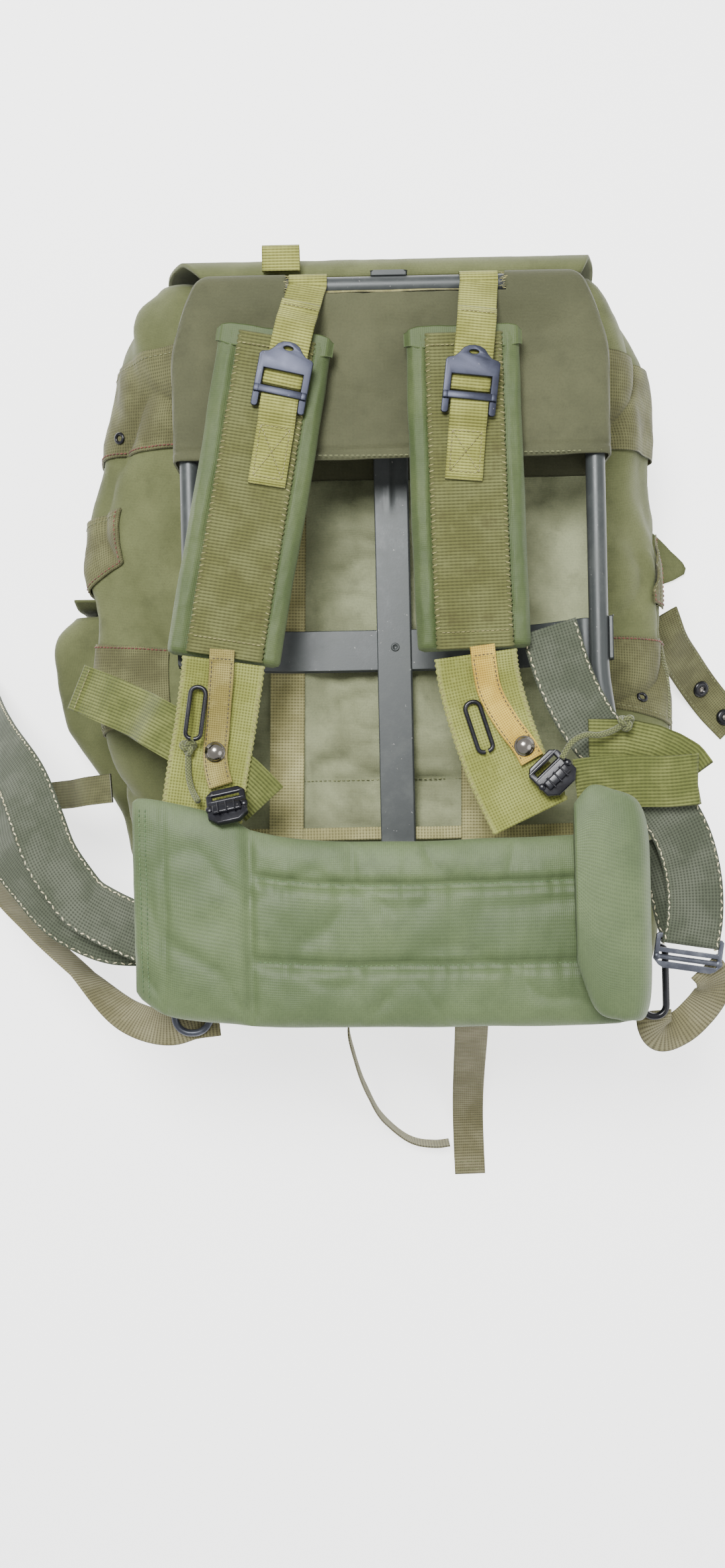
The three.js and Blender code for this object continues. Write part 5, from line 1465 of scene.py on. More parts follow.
def ladder_buckle(name, node, centre, heading):
    """Pressed plate with a rounded thumb tab, two legs, a round bar for the strap and a lower rail."""
    outline = [(-17.7, -17.0), (-16.6, -18.2), (-14.4, -18.2), (-13.1, -17.0), (-13.1, 5.6), (13.1, 5.6),
               (13.1, -17.0), (14.4, -18.2), (16.6, -18.2), (17.7, -17.0), (17.7, 14.2), (16.4, 15.8),
               (12.2, 17.0),
               (9.6, 19.4), (7.0, 22.8), (3.8, 24.6), (0, 25.1), (-3.8, 24.6), (-7.0, 22.8), (-9.6, 19.4),
               (-12.2, 17.0), (-16.4, 15.8), (-17.7, 14.2)]
    slot = [(3.2 * math.cos(a), 20.6 + 1.35 * math.sin(a)) for a in (math.tau * k / 14 for k in range(14))]
    made = plate_mesh(outline, [slot], 2.0, 0.45)
    for vert in made.verts:
        vert.co.z += 5.4 * ease(vert.co.y, -3.0, 5.5)
    join_into(made, rod_mesh([(-16.6, 0, 0), (16.6, 0, 0)], WIRE, 14, 2.5))
    rail = bmesh.new()
    for wide, deep, tall, x, z in ((29.0, 4.8, 1.6, 0, 3.9), (4.2, 4.8, 4.6, -15.4, 2.2),
                                   (4.2, 4.8, 4.6, 15.4, 2.2)):
        bmesh.ops.create_cube(
            rail, size=1.0, matrix=Matrix.Translation((x, -7.2, z)) @ Matrix.Diagonal((wide, deep, tall, 1)))
    bmesh.ops.bevel(rail, geom=rail.edges[:], offset=0.6, segments=2, affect="EDGES", profile=0.5,
                    material=-1)
    join_into(made, rail)
    stand(made, centre, UP, heading)
    return finish_piece(name, made, finish("phosphated steel"), node, sharp=40)


def top_strap(side, facts, sewn):
    """The adjusting strap: through the buckle, round the top tube and its free end back over it."""
    buckle = Vector((*facts["buckle"], BUCKLE_LEVEL))
    heading = Vector((facts["tube"] - buckle.x, TOP_AXIS - buckle.y, 0))
    length = heading.length
    heading.normalize()
    across = heading.cross(UP)
    wrap = WIRE + GAP + WEBBING / 2
    grip = TUBE_RADIUS + GAP * 2.6 + WEBBING / 2
    flat = (0.845 * REACH - buckle.y) / heading.y
    lane = [(14, STRAP_LEVEL), (flat, STRAP_LEVEL), (length - 22, TUBE_TOP + 10),
            (length - 8.2, TUBE_TOP + 4.2)]

    def along(d, z):
        spot = buckle + heading * d
        return Vector((spot.x, spot.y, z))

    def lane_level(d):
        i = next(k for k, (end, _) in enumerate(lane) if end > d)
        (d0, z0), (d1, z1) = lane[i - 1], lane[i]
        return z0 + (z1 - z0) * (d - d0) / (d1 - d0)

    free = (facts["free"] * REACH - buckle.y) / heading.y
    path = [along(d, lane_level(d) + 3.4) for d in (free, (free + flat) / 2, flat)]
    path += [along(flat * 0.7, STRAP_LEVEL + 5.2), along(16, BUCKLE_LEVEL + wrap)]
    path += [along(wrap * math.cos(a), BUCKLE_LEVEL + wrap * math.sin(a))
             for a in (math.pi / 2 + k / 14 * math.pi for k in range(15))]
    path += [along(d, z) for d, z in lane]
    straight = len(path)
    path += [Vector((facts["tube"], TOP_AXIS + grip * math.cos(a), TUBE_LEVEL + grip * math.sin(a)))
             for a in (math.pi * 0.56 - k / 18 * math.pi * 1.06 for k in range(19))]
    # the sharp corners of the run are eased before it is laid
    eased = [path[0]]
    for a, b, c in zip(path, path[1:], path[2:]):
        eased += [b.lerp(a, 0.22), b.lerp(a, 0.06).lerp(b.lerp(c, 0.06), 0.5), b.lerp(c, 0.22)]
    eased.append(path[-1])
    turn_from = (straight - 2) / (len(path) - 1)
    route = facing_up(eased, 0.05, side=lambda t, owner: across if owner < turn_from else RIGHT, step=1.0)

    def swell(s, t, run, aside):
        return 0.18 * crumple(aside, run, 0, 18, 3.0) + (0.8 * (1 - ease(run, 6.5, 7.5)))

    lay_strap(f"top_strap_{side}_webbing", f"top_strap_{side}", route, STRAP_WIDTH, WEBBING,
              "khaki strap webbing", "khaki_webbing", swell=swell, step=1.0)
    sewn.across(route, 5.4, -11, 11, 1.9, pitch=2.8, long=2.2)
    ladder_buckle(f"strap_buckle_{side}_steel", f"strap_buckle_{side}", buckle, heading)

    end = Vector((*facts["tab_end"], 0))
    ahead = Vector((buckle.x, buckle.y, 0)) - end
    tab = ahead.length
    ahead.normalize()
    rail = tab - 12.5
    lift = BUCKLE_LEVEL + 1.4 + GAP + WEBBING / 2 - STRAP_LEVEL

    def spot(d, z):
        p = end + ahead * d
        return Vector((p.x, p.y, z))

    line = [spot(0, STRAP_LEVEL), spot(rail - 8, STRAP_LEVEL), spot(rail + 1, STRAP_LEVEL)]
    line += [spot(rail + 1 + 4.2 * math.sin(a), STRAP_LEVEL + lift * (1 - math.cos(a)) / 2)
             for a in (math.pi * k / 12 for k in range(1, 13))]
    line += [spot(rail - 7, STRAP_LEVEL + lift + 0.2), spot(rail - 14, STRAP_LEVEL + WEBBING + GAP),
             spot(1.5, STRAP_LEVEL + WEBBING + GAP)]
    route = facing_up(line, 0.95, side=ahead.cross(UP), step=1.0)
    lay_strap(f"anchor_tab_{side}_webbing", f"anchor_tab_{side}", route, STRAP_WIDTH - 1, WEBBING,
              "khaki strap webbing", "khaki_webbing", step=1.0,
              swell=lambda s, t, run, aside: 0.22 * crumple(aside, run, 0, 12, 6.0))
    sewn.box(route, route.length - 3.2, route.length - rail + 18, 9.6, 1.0, pitch=3.0, long=2.3)


def pull_tab(side, facts, sewn):
    """The tab that opens the release buckle, with its snap."""
    route = facing_up(smooth(facts["release"]), 10, step=1.0)
    long = route.length

    def swell(s, t, run, aside):
        hem = 1.0 * (1 - ease(run, 7.5, 8.5))
        return hem + 0.25 * ease(abs(aside), 5.5, 6.8) + 0.2 * crumple(aside, run, 0, 9, 2.0)

    lay_strap(f"release_tab_{side}_webbing", f"release_tab_{side}", route, 16, 2.0, facts["pull"],
              "tan_webbing", swell=swell, step=1.0)
    for aside in (-6.4, 6.4):
        sewn.on(route, aside, 1.5, long - 3, 1.35, pitch=3.0, long=2.3, thick=0.4)
    sewn.across(route, 6.2, -6.4, 6.4, 2.1, pitch=2.6, long=2.0, thick=0.4)
    # the snap sits where the solid's own route had it
    along = long * facts["snap"] / 8
    where = route.at(along, 0, 1.0)
    out = route.axes(along)[3]
    dome = turned_mesh([(0.0, 4.35), (1.6, 4.2), (3.2, 3.7), (4.7, 2.8), (5.7, 1.8), (6.1, 1.2), (6.6, 0.95),
                        (6.9, 0.6), (6.8, 0.1), (6.0, 0.0), (0.0, 0.0)], 36)
    stand(dome, where + out * 0.1, out, ALONG)
    finish_piece(f"tab_snap_{side}_dome", dome, finish("dark nickel plate"), f"tab_snap_{side}")


def release_buckle(side, facts):
    """Cast and pressed quick release: side cheeks, a ribbed bridge, a lever and the cross pins."""
    body = plate_mesh([(-13, -9), (-7, -14), (7, -14), (13, -9), (13, 8), (9, 12), (-9, 12), (-13, 8)],
                      [[(-9, 3), (9, 3), (9, 8.5), (-9, 8.5)]], 4.6, 0.9)
    bridge = bmesh.new()
    bmesh.ops.create_cube(bridge, size=1.0,
                          matrix=Matrix.Translation((0, -4.5, 3.4)) @ Matrix.Diagonal((19, 6.6, 3.4, 1)))
    bmesh.ops.bevel(bridge, geom=bridge.edges[:], offset=1.1, segments=3, affect="EDGES", profile=0.5,
                    material=-1)
    join_into(body, bridge)
    for x in (-5.4, 0, 5.4):
        ridge = rod_mesh([(x, -8.6, 4.9), (x, -0.4, 4.9)], 0.7, 10, 2.0)
        join_into(body, ridge)
    for y in (3.0, 8.6):
        join_into(body, rod_mesh([(-11.6, y, 0.9), (11.6, y, 0.9)], 1.5, 14, 2.0))
    for x in (-11.4, 11.4):
        pin = turned_mesh([(0, 3.1), (1.5, 3.0), (2.3, 2.4), (2.5, 1.2), (2.5, 0)], 18)
        bmesh.ops.translate(pin, vec=(x, -2.5, 0.6), verts=pin.verts)
        join_into(body, pin)
    turn = (Matrix.Rotation(facts["clip_turn"], 4, "Z")
            @ Matrix.Rotation(math.radians(facts["clip_tilt"]), 4, "X"))
    bmesh.ops.transform(body, matrix=Matrix.Translation(facts["clip"]) @ turn, verts=body.verts)
    finish_piece(f"release_buckle_{side}_enamel", body, finish("black enamel"),
                 f"release_buckle_{side}",
                 sharp=40)
    wire = rounded([(1, -17, 0), (5, -17, 0), (5, 17, 0), (-5, 17, 0), (-5, -17, 0), (-1, -17, 0)],
                   [3.8, 4.5, 4.5, 3.8])
    turn = Matrix.Rotation(facts["hook_turn"], 3, "Z")
    line = [turn @ p + Vector(facts["hook"]) for p in wire]
    finish_piece(f"side_hook_{side}_wire", rod_mesh(line, 1.5, 12, 0.9), finish("black enamel"),
                 f"side_hook_{side}", sharp=60)


def knot(centre, size):
    """An overhand knot: one cord winding twice round itself."""
    line = []
    for k in range(61):
        a = math.tau * k / 60
        line.append(Vector(centre) + size * Vector((
            0.62 * (math.sin(a) + 2 * math.sin(2 * a)) / 2, 0.62 * (math.cos(a) - 2 * math.cos(2 * a)) / 2,
            -0.5 * math.sin(3 * a))))
    return rod_mesh(line, 1.9, 10, 0.9)


def pull_cord(side, facts):
    """A cord from the release buckle to its knot."""
    line = smooth(facts["cord"])
    route = Route(line, step=1.0)
    piece = finish_piece(f"pull_cord_{side}_braid", rod_mesh(line, 2.0, 12, 1.0),
                         finish("olive braided cord"),
                         f"pull_cord_{side}")
    start = facts["cord"][-1] if side == "left" else facts["cord"][0]
    far = facts["cord"][0] if side == "left" else facts["cord"][-1]
    end_knot = finish_piece(f"pull_cord_{side}_knot", knot(Vector(far) + Vector((0, 0, 1.2)), 4.6),
                            finish("olive braided cord"))
    place_mm(*start)


def ribbed_strap(side, facts, sewn):
    """The strap that the release buckle holds; the right one is folded back on itself."""
    points = smooth(facts["ribbed"])
    if side == "right":
        points += fold_back(points[-1], Vector((0.94, 0.34, 0)).normalized(), 1.6, -1)
        points += [Vector(p)
                   for p in ((189, -78.5, 214.2), (180, -73, 214.2), (168, -68, 214.6), (150, -64, 214.9),
                                       (126, -64, 216.4))]
        plain_strap("lower_strap_right_webbing", "lower_strap_right", points, 34, WEBBING,
                    "olive ribbed webbing",
                    "ribbed_webbing", side=(0.06, 1, 0), columns=24, step=1.2)
        return
    route = Route(points, step=1.2)

    def swell(s, t, run, aside):
        return 1.0 * (1 - ease(run, 9, 10)) + 0.3 * crumple(aside, run, 0, 18, 1.0)

    lay_strap("lower_strap_left_webbing", "lower_strap_left", route, 34, WEBBING, "olive ribbed webbing",
              "ribbed_webbing", 24, swell=swell, step=1.2)
    sewn.across(route, 8.0, -15, 15, 1.9, pitch=3.0, long=2.4)


def both_sides(maker):
    for side, facts in SIDES.items():
        maker(side, facts)


def sewn_on_both_sides(maker, name, thread):
    sewn = Sewing()
    for side, facts in SIDES.items():
        maker(side, facts, sewn)
    sewn.done(name, finish(thread))


def pull_cords():
    both_sides(pull_cord)


def shoulder_pads():
    both_sides(shoulder_pad)


def pad_webbings():
    sewn_on_both_sides(pad_webbing, "pad_webbing_stitching", "khaki thread")


def top_straps():
    sewn_on_both_sides(top_strap, "top_strap_stitching", "khaki thread")


def pull_tabs():
    sewn_on_both_sides(pull_tab, "pull_tab_stitching", "brown thread")


def release_buckles():
    both_sides(release_buckle)


def ribbed_straps():
    sewn_on_both_sides(ribbed_strap, "ribbed_strap_stitching", "khaki thread")


# hip pad: stations across the back, then round the fold at the right and back over it
HIP_BASE = KIDNEY_BOTTOM + 9.5
# radius of the fold at the right and the place where it starts
HIP_TURN = 12.5
HIP_FOLD = 1.02 * SPAN


def hip_table():
    """Rows of place, outward direction, upper edge, lower edge and thickness."""
    rows = [[x * SPAN, HIP_BASE, 0, 1, top, bottom, thick] for x, top, bottom, thick in (
        (-1.285, -0.375, -0.865, 0.3), (-1.26, -0.366, -0.885, 0.55), (-1.15, -0.372, -0.925, 0.8),
        (-0.98, -0.395, -0.945, 1), (-0.8, -0.428, -0.957, 1), (-0.72, -0.455, -0.962, 0.9),
        (-0.4, -0.485, -0.968, 1), (0, -0.492, -0.972, 1), (0.4, -0.49, -0.975, 1),
        (0.75, -0.485, -0.976, 0.95),
        (1.02, -0.48, -0.974, 0.9))]
    for angle, top, bottom in ((22, -0.468, -0.97), (45, -0.455, -0.965), (67, -0.437, -0.96),
                               (90, -0.42, -0.955),
                               (113, -0.405, -0.952), (135, -0.39, -0.95), (158, -0.38, -0.947)):
        a = math.radians(angle)
        rows.append([HIP_FOLD + HIP_TURN * math.sin(a), HIP_BASE + HIP_TURN * (1 - math.cos(a)), -math.sin(a),
                     math.cos(a), top, bottom, 0.8])
    for x, top, bottom, thick in ((1.0, -0.37, -0.945, 0.75), (0.88, -0.356, -0.915, 0.6),
                                  (0.8, -0.4, -0.8, 0.4)):
        rows.append([x * SPAN, HIP_BASE + 2 * HIP_TURN, 0, -1, top, bottom, thick])
    return Table(rows, keys=2)


HIP = hip_table()
# the quilting's two long seams, in shares from the upper edge to the lower one
SEAMS = (0.235, 0.665)


def hip_place(s, t):
    """Upper face for s up to a half, from the pad's top edge to its bottom edge, and the lower face back."""
    x, z, nx, nz, top, bottom, thick = HIP.at(t)
    upper = s < 0.5
    share = s * 2 if upper else 2 - s * 2
    share = 0.5 - 0.5 * math.cos(math.pi * share) * (1 - 0.25 * abs(math.cos(math.pi * share)))
    share = min(1.0, max(0.0, (share - 0.125) / 0.75))
    round_off = max(0.0, 1 - abs(2 * share - 1) ** 5.5) ** 0.55
    y = (top + (bottom - top) * share) * REACH
    h = thick * 9.5 * round_off
    run = t * HIP.run[-1]
    sewn_part = ease(run, 74, 84) * (1 - ease(run, 330, 345))
    if upper:
        for seam in SEAMS:
            near = abs(share - seam)
            h -= sewn_part * thick * 5.4 * math.exp(-((near / 0.026) ** 2))
            pucker = crumple(run, share * 18, 0, 5.5, 2.0 + seam)
            h += sewn_part * 1.7 * pucker * math.exp(-near / 0.08) * round_off
        h += (1.8 * crumple(run, share * 130, 0, 34, 4.0) + 0.8
              * crumple(run, share * 130, 0, 11, 7.0)) * round_off
        h += 2.2 * folds(run * 0.8 + share * 60, share * 90 - run * 0.4, 0, 40, 4.2) * round_off
        h -= 3.2 * math.exp(-((run - 76) / 3.4) ** 2) * round_off
        h -= 1.4 * math.exp(-((run - 20) / 2.5) ** 2) * round_off
        h -= 1.6 * math.exp(-((run - 22) / 2.0) ** 2 - ((share - 0.52) / 0.1) ** 2)
    else:
        h = -h
    y += crumple(run, 0, 3.0, 42, 1.0) * (1 - round_off)
    return Vector((x + nx * h, y, z + nz * h))


def hip_pad():
    """The quilted pad with its two long seams."""
    made = cloth_grid(120, 220, hip_place, size=(270, HIP.run[-1]), closed=True, capped=True)
    bmesh.ops.recalc_face_normals(made, faces=made.faces)
    piece = finish_piece("kidney_pad_quilted", made, finish("green hip nylon"), "kidney_pad")
    sewn = Sewing()
    total = HIP.run[-1]

    def s_of(goal):
        low, high = 0.0, 0.5
        for _ in range(30):
            mid = (low + high) / 2
            share = 0.5 - 0.5 * math.cos(math.pi * mid * 2) * (1 - 0.25 * abs(math.cos(math.pi * mid * 2)))
            share = (share - 0.125) / 0.75
            low, high = (mid, high) if share < goal else (low, mid)
        return low

    for seam in SEAMS:
        path = [(s_of(seam), (80 + 262 * k / 130) / total) for k in range(131)]
        sewn.seam(surface_spots(hip_place, path, 0.3, hip_sign()), 3.4, 2.6, 0.42)
    for edge in (0.06, 0.94):
        path = [(s_of(edge), (348 + (total - 352) * k / 30) / total) for k in range(31)]
        sewn.seam(surface_spots(hip_place, path, 0.3, hip_sign()), 3.2, 2.4, 0.42)
    for run in (5.0, 9.0):
        path = [(s_of(0.05 + 0.9 * k / 40), run / total) for k in range(41)]
        sewn.seam(surface_spots(hip_place, path, 0.3, hip_sign()), 3.2, 2.4, 0.42)
    sewn.done("hip_pad_stitching", finish("green thread"))


def hip_sign():
    """1 where the pad's map turns outwards on its upper face, or else -1."""
    out = surface_spots(hip_place, [(0.25, 0.4)], 0)[0][1]
    return 1.0 if out.z > 0 else -1.0


# waist belt


def belt_buckle(name, node, start, heading):
    """Slotted pressed plate with a sliding bar across its middle."""
    half = 23.0
    outline = [(-half, -9.5), (-half + 1.5, -11), (half - 1.5, -11), (half, -9.5), (half, 7), (half - 4, 11),
               (half - 7, 12.4), (-half + 7, 12.4), (-half + 4, 11), (-half, 7)]
    slots = [[(-19.8, -7.5), (19.8, -7.5), (19.8, -1.2), (-19.8, -1.2)],
             [(-19.8, 2), (19.8, 2), (19.8, 8), (-19.8, 8)]]
    made = plate_mesh(outline, slots, 2.4, 0.55)
    join_into(made, rod_mesh([(-21.5, 5.0, 1.1), (21.5, 5.0, 1.1)], 1.7, 14, 3.0))
    for x in (-21, 21):
        cap = turned_mesh([(0, 1.4), (1.6, 1.3), (2.3, 0.7), (2.4, 0)], 18)
        bmesh.ops.translate(cap, vec=(x, 5.0, 1.6), verts=cap.verts)
        join_into(made, cap)
    centre = Vector(start) + Vector(heading) * 7.2
    stand(made, centre + Vector((0, 0, -2.3)), UP, heading)
    return finish_piece(name, made, finish("belt plate steel"), node, sharp=40)


def belt_half(side, front, back, heading, anchor, lean):
    """Half of the belt: up to its buckle, round the bar and back underneath."""
    down = smooth(front)
    last = down[-1]
    heading = Vector(heading).normalized()
    points = [*down, *fold_back(last, heading, 2.3, -1), *smooth(back)]
    route = facing_up(points, 20, step=1.4)

    def swell(s, t, run, aside):
        return 0.25 * crumple(aside, run, 0, 30, 5.0) + 0.35 * ease(abs(aside), 16.2, 17.6)

    lay_strap(f"waist_belt_{side}_webbing", f"waist_belt_{side}", route, 38, WEBBING, "grey belt webbing",
              "belt_webbing", 14, swell=swell, step=1.8)
    sewn = Sewing()
    for aside in (-17.6, 17.6):
        for lift, thick in ((1.05, 0.52), (-0.75, 0.45)):
            sewn.edging(route, aside, lift, 4.4, int(route.length / 4.4),
                        lambda k: (0.35 if k % 2 else -0.35, 1),
                        long=3.5, thick=thick)
    sewn.done(f"waist_belt_{side}_stitching", finish("cream thread"))
    belt_buckle(f"belt_buckle_{side}_plate", f"belt_buckle_{side}", last, heading)
    plain_strap(f"belt_anchor_strap_{side}_webbing", f"belt_anchor_strap_{side}", smooth(anchor), 24,
                WEBBING,
                "thin olive webbing", "ribbed_webbing", tilt=lean, columns=14)


def waist_belt():
    belt_half(
        "right",
        [(101.2, 15.4, 214), (113, -22.4, 213.4), (128.5, -52.3, 212.8), (151.7, -79.1, 212.8),
         (174.9, -103.2, 211.2),
         (189.4, -126.9, 207), (196.5, -154.1, 205), (197, -180, 205), (194, -198, 205.3)],
        [(194.5, -192, 200.2), (191, -180, 198.4), (187, -160, 196), (181, -140, 195), (175, -127, 195)],
        (-0.16, -1, 0),
        [(171, -246, 193.2), (172, -256, 191), (178, -264, 184), (192, -262, 176), (207, -249, 177),
         (213.5, -234, 186),
         (210, -222, 197), (204, -215, 200.6)],
        None)
    belt_half(
        "left",
        [(-140, -193, 212.8), (-153, -190, 212.7), (-167, -186, 212.4), (-183, -180, 208), (-202, -172, 200),
         (-216, -164, 195), (-228, -151, 189), (-242, -132, 181), (-254, -106, 171), (-268, -80, 155),
         (-300, -48, 110), (-325, -24, 60), (-345, -2, 22), (-356, 10, 8), (-360, 15, 7)],
        [(-357, 0, 2.4), (-348, -20, 3), (-334, -44, 14), (-318, -74, 50), (-302, -102, 94),
         (-284, -128, 135),
         (-258, -152, 162), (-232, -174, 178), (-200, -188, 186), (-171, -190, 188)],
        (-0.62, 0.78, 0),
        [(-126, -245, 192), (-143, -247, 191.9), (-160, -252, 187), (-192, -247, 168), (-232, -219, 142),
         (-272, -192, 112), (-315, -158, 74), (-346, -110, 30), (-365, -60, 13.2), (-374, -22, 13.2)],
        lambda t: 1.35 * min(1.0, max(0.0, t * 4.5 - 0.35)))


# straps that fall from the bag to the floor


def loose_straps():
    """The straps at the bag's lower end and sides that nothing holds."""
    sewn = Sewing()
    points = smooth([(52, -257.5, 112), (54, -266, 106), (55.5, -285, 84), (57, -318, 44), (58, -350, 14),
                     (58.6, -372, 2.2), (59, -395, 0.65), (59.5, -418, 0.65)])
    route = facing_up(points, 0.9, side=(1, 0, 0), step=1.4)
    lay_strap("bottom_strap_webbing", "bottom_strap", route, STRAP_WIDTH, WEBBING, "thin olive webbing",
              "band_webbing", 14, step=1.4,
              swell=lambda s, t, run, aside: 1.1 * ease(run, route.length - 13, route.length - 12))
    for run in (route.length - 10.5, route.length - 4):
        sewn.across(route, run, -11, 11, 2.0, pitch=3.0, long=2.4)
    points = smooth([(-37, -258, 104), (-39, -272, 100), (-35, -300, 78), (-26, -335, 44), (-12, -366, 18),
                     (10, -386, 9.8), (30, -390, 9.6), (42, -389, 9.6)])
    plain_strap("bottom_loop_strap_webbing", "bottom_loop_strap", points, 19, WEBBING, "thin olive webbing",
                "band_webbing", tilt=lambda t: math.pi / 2)
    points = smooth([(215.2, 42, 57.5), (225.5, 24, 45), (243, 6, 24), (262, -14, 6), (276, -30, 0.9),
                     (290, -45, 0.9)])
    route = plain_strap("snap_strap_webbing", "snap_strap", points, 31, HEAVY, "brown band webbing",
                        "band_webbing",
                        columns=20, step=1.4,
                        swell=lambda s, t, run, aside: 0.3 * ease(abs(aside), 12.5, 14))
    sewn.on(route, -13.4, 3, route.length - 2, 1.25)
    sewn.on(route, 13.4, 3, route.length - 2, 1.25)
    for name, share in (("upper", 8 / 12), ("lower", 11 / 12)):
        along = route.length * share
        out = route.axes(along)[3]
        ring = turned_mesh([(0, 0.9), (2.3, 1.0), (2.8, 2.0), (3.6, 2.5), (5.2, 2.4), (6.3, 1.8), (6.9, 0.9),
                            (7.1, 0.0), (0, 0)], 32)
        for face in ring.faces:
            face.material_index = 0 if face.calc_center_median().xy.length > 2.5 else 1
        stand(ring, route.at(along, 0, 1.0), out, ALONG)
        finish_piece(f"snap_socket_{name}_ring", ring, [finish("black enamel"), finish("dark nickel plate")],
                     f"snap_socket_{name}")
    points = smooth([(-214.2, -86, 106), (-236, -88, 92), (-252, -90, 76), (-268, -91, 60), (-282, -92, 46)],
                    14)
    plain_strap("side_strap_left_webbing", "side_strap_left", points, 22, WEBBING, "brown band webbing",
                "band_webbing", side=(0, 1, 0), columns=14, step=1.4)
    sewn.done("loose_strap_stitching", finish("olive thread"))


# stage


def photo_camera():
    """The camera over the pack, as for the photo."""
    facts = bpy.context.scene.rucksack_sizes
    camera = bpy.data.cameras.new("Photo view")
    camera.lens = facts.camera_lens
    camera.sensor_width = SENSOR_WIDTH
    eye = bpy.data.objects.new("Photo view", camera)
    bpy.context.scene.collection.objects.link(eye)
    eye.location = (*PHOTO_SPOT, facts.camera_height)
    eye.rotation_euler = (0, 0, math.radians(PHOTO_TURN))
    bpy.context.scene.camera = eye


def area_light(name, spot, target, wide, power_watts):
    lamp = bpy.data.lights.new(name, "AREA")
    lamp.shape = "DISK"
    lamp.size = wide
    lamp.energy = power_watts
    holder = bpy.data.objects.new(name, lamp)
    bpy.context.scene.collection.objects.link(holder)
    holder.location = spot
    holder.rotation_euler = (Vector(target) - Vector(spot)).to_track_quat("-Z", "Y").to_euler()


def stage():
    """A white room with a white paper floor and two soft lights."""
    world = bpy.data.worlds.new("Soft white room")
    bpy.context.scene.world = world
    world.use_nodes = True
    sky = world.node_tree.nodes["Background"].inputs
    sky["Color"].default_value = linear("#FFFFFF")
    sky["Strength"].default_value = ROOM_LIGHT
    made = bmesh.new()
    bmesh.ops.create_grid(made, x_segments=2, y_segments=2, size=6.0)
    bmesh.ops.translate(made, vec=(0, 0, -0.0004), verts=made.verts)
    mesh = bpy.data.meshes.new("floor")
    made.to_mesh(mesh)
    made.free()
    floor = bpy.data.objects.new("floor", mesh)
    bpy.context.scene.collection.objects.link(floor)
    material, tree = start_material("white paper floor")
    shader = add_node(tree, "ShaderNodeBsdfPrincipled", {"Base Color": linear("#FCFCFB"), "Roughness": 0.95,
                                                         "Specular IOR Level": 0.1,
                                                         "Emission Color": linear("#FFFFFF"),
                                                         "Emission Strength": FLOOR_GLOW})
    add_node(tree, "ShaderNodeOutputMaterial", {"Surface": shader.outputs["BSDF"]})
    mesh.materials.append(material)
    for facts in LIGHTS:
        area_light(*facts)


# the add-on


class RucksackSizes(bpy.types.PropertyGroup):
    """Sizes that a user may change."""

    camera_lens: bpy.props.FloatProperty(name="Lens", description="Focal length of the photo view",
                                         default=27.05,
                                         min=10, max=200, unit="CAMERA")
    camera_height: bpy.props.FloatProperty(name="Camera height",
                                           description="Height of the photo view over the floor",
                                           default=0.998, min=0.5, max=5, unit="LENGTH")
    thread_thickness: bpy.props.FloatProperty(name="Thread", description="Thickness of the sewing thread",
                                              default=0.00084, min=0.0002, max=0.002, precision=5,
                                              unit="LENGTH")


def picked_colour(label, told, material):
    """A colour property that starts at the material's main colour."""
    return bpy.props.FloatVectorProperty(name=label, description=told, subtype="COLOR", size=3, min=0, max=1,
                                         default=linear(FINISH_FACTS[material][1][0])[:3])


class RucksackColours(bpy.types.PropertyGroup):
    """Colours that a user may change."""

    frame_paint: picked_colour("Frame paint", "Colour of the painted frame", "satin frame paint")
    bag_cloth: picked_colour("Bag cloth", "Colour of the bag's nylon duck", "olive nylon duck")
    pad_cloth: picked_colour("Pad cloth", "Colour of the shoulder pads", "green pad nylon")
    strap_webbing: picked_colour("Strap webbing", "Colour of the top straps", "khaki strap webbing")


class PieceOperator:
    bl_options = {"REGISTER", "UNDO"}
    makers = ()

    def execute(self, context):
        for maker in self.makers:
            maker()
        return {"FINISHED"}


class RUCKSACK_OT_camera(PieceOperator, bpy.types.Operator):
    """Makes the camera that stands where the photo was taken"""

    bl_idname = "rucksack.camera"
    bl_label = "Photo camera"
    makers = (photo_camera,)


class RUCKSACK_OT_pull_cords(PieceOperator, bpy.types.Operator):
    """Makes the knotted cords of the release buckles"""

    bl_idname = "rucksack.pull_cords"
    bl_label = "Pull cords"
    makers = (pull_cords,)


class RUCKSACK_OT_shoulder_pads(PieceOperator, bpy.types.Operator):
    """Makes both shoulder pads with the fold at their top end"""

    bl_idname = "rucksack.shoulder_pads"
    bl_label = "Shoulder pads"
    makers = (shoulder_pads,)


class RUCKSACK_OT_pad_webbing(PieceOperator, bpy.types.Operator):
    """Makes the wide webbing on and below the shoulder pads"""

    bl_idname = "rucksack.pad_webbing"
    bl_label = "Pad webbing"
    makers = (pad_webbings,)


class RUCKSACK_OT_top_straps(PieceOperator, bpy.types.Operator):
    """Makes the straps round the top tube, their buckles and anchor tabs"""

    bl_idname = "rucksack.top_straps"
    bl_label = "Top straps and buckles"
    makers = (top_straps,)


class RUCKSACK_OT_pull_tabs(PieceOperator, bpy.types.Operator):
    """Makes the pull tabs with their snaps"""

    bl_idname = "rucksack.pull_tabs"
    bl_label = "Pull tabs"
    makers = (pull_tabs,)


class RUCKSACK_OT_release_buckles(PieceOperator, bpy.types.Operator):
    """Makes the quick-release buckles and the wire hooks"""

    bl_idname = "rucksack.release_buckles"
    bl_label = "Release buckles and hooks"
    makers = (release_buckles,)


class RUCKSACK_OT_ribbed_straps(PieceOperator, bpy.types.Operator):
    """Makes the ribbed lower straps"""

    bl_idname = "rucksack.ribbed_straps"
    bl_label = "Ribbed straps"
    makers = (ribbed_straps,)


class RUCKSACK_OT_frame(PieceOperator, bpy.types.Operator):
    """Makes the bent tube, the flat bars and the corner loops"""

    bl_idname = "rucksack.frame"
    bl_label = "Tube frame"
    makers = (frame_metal,)


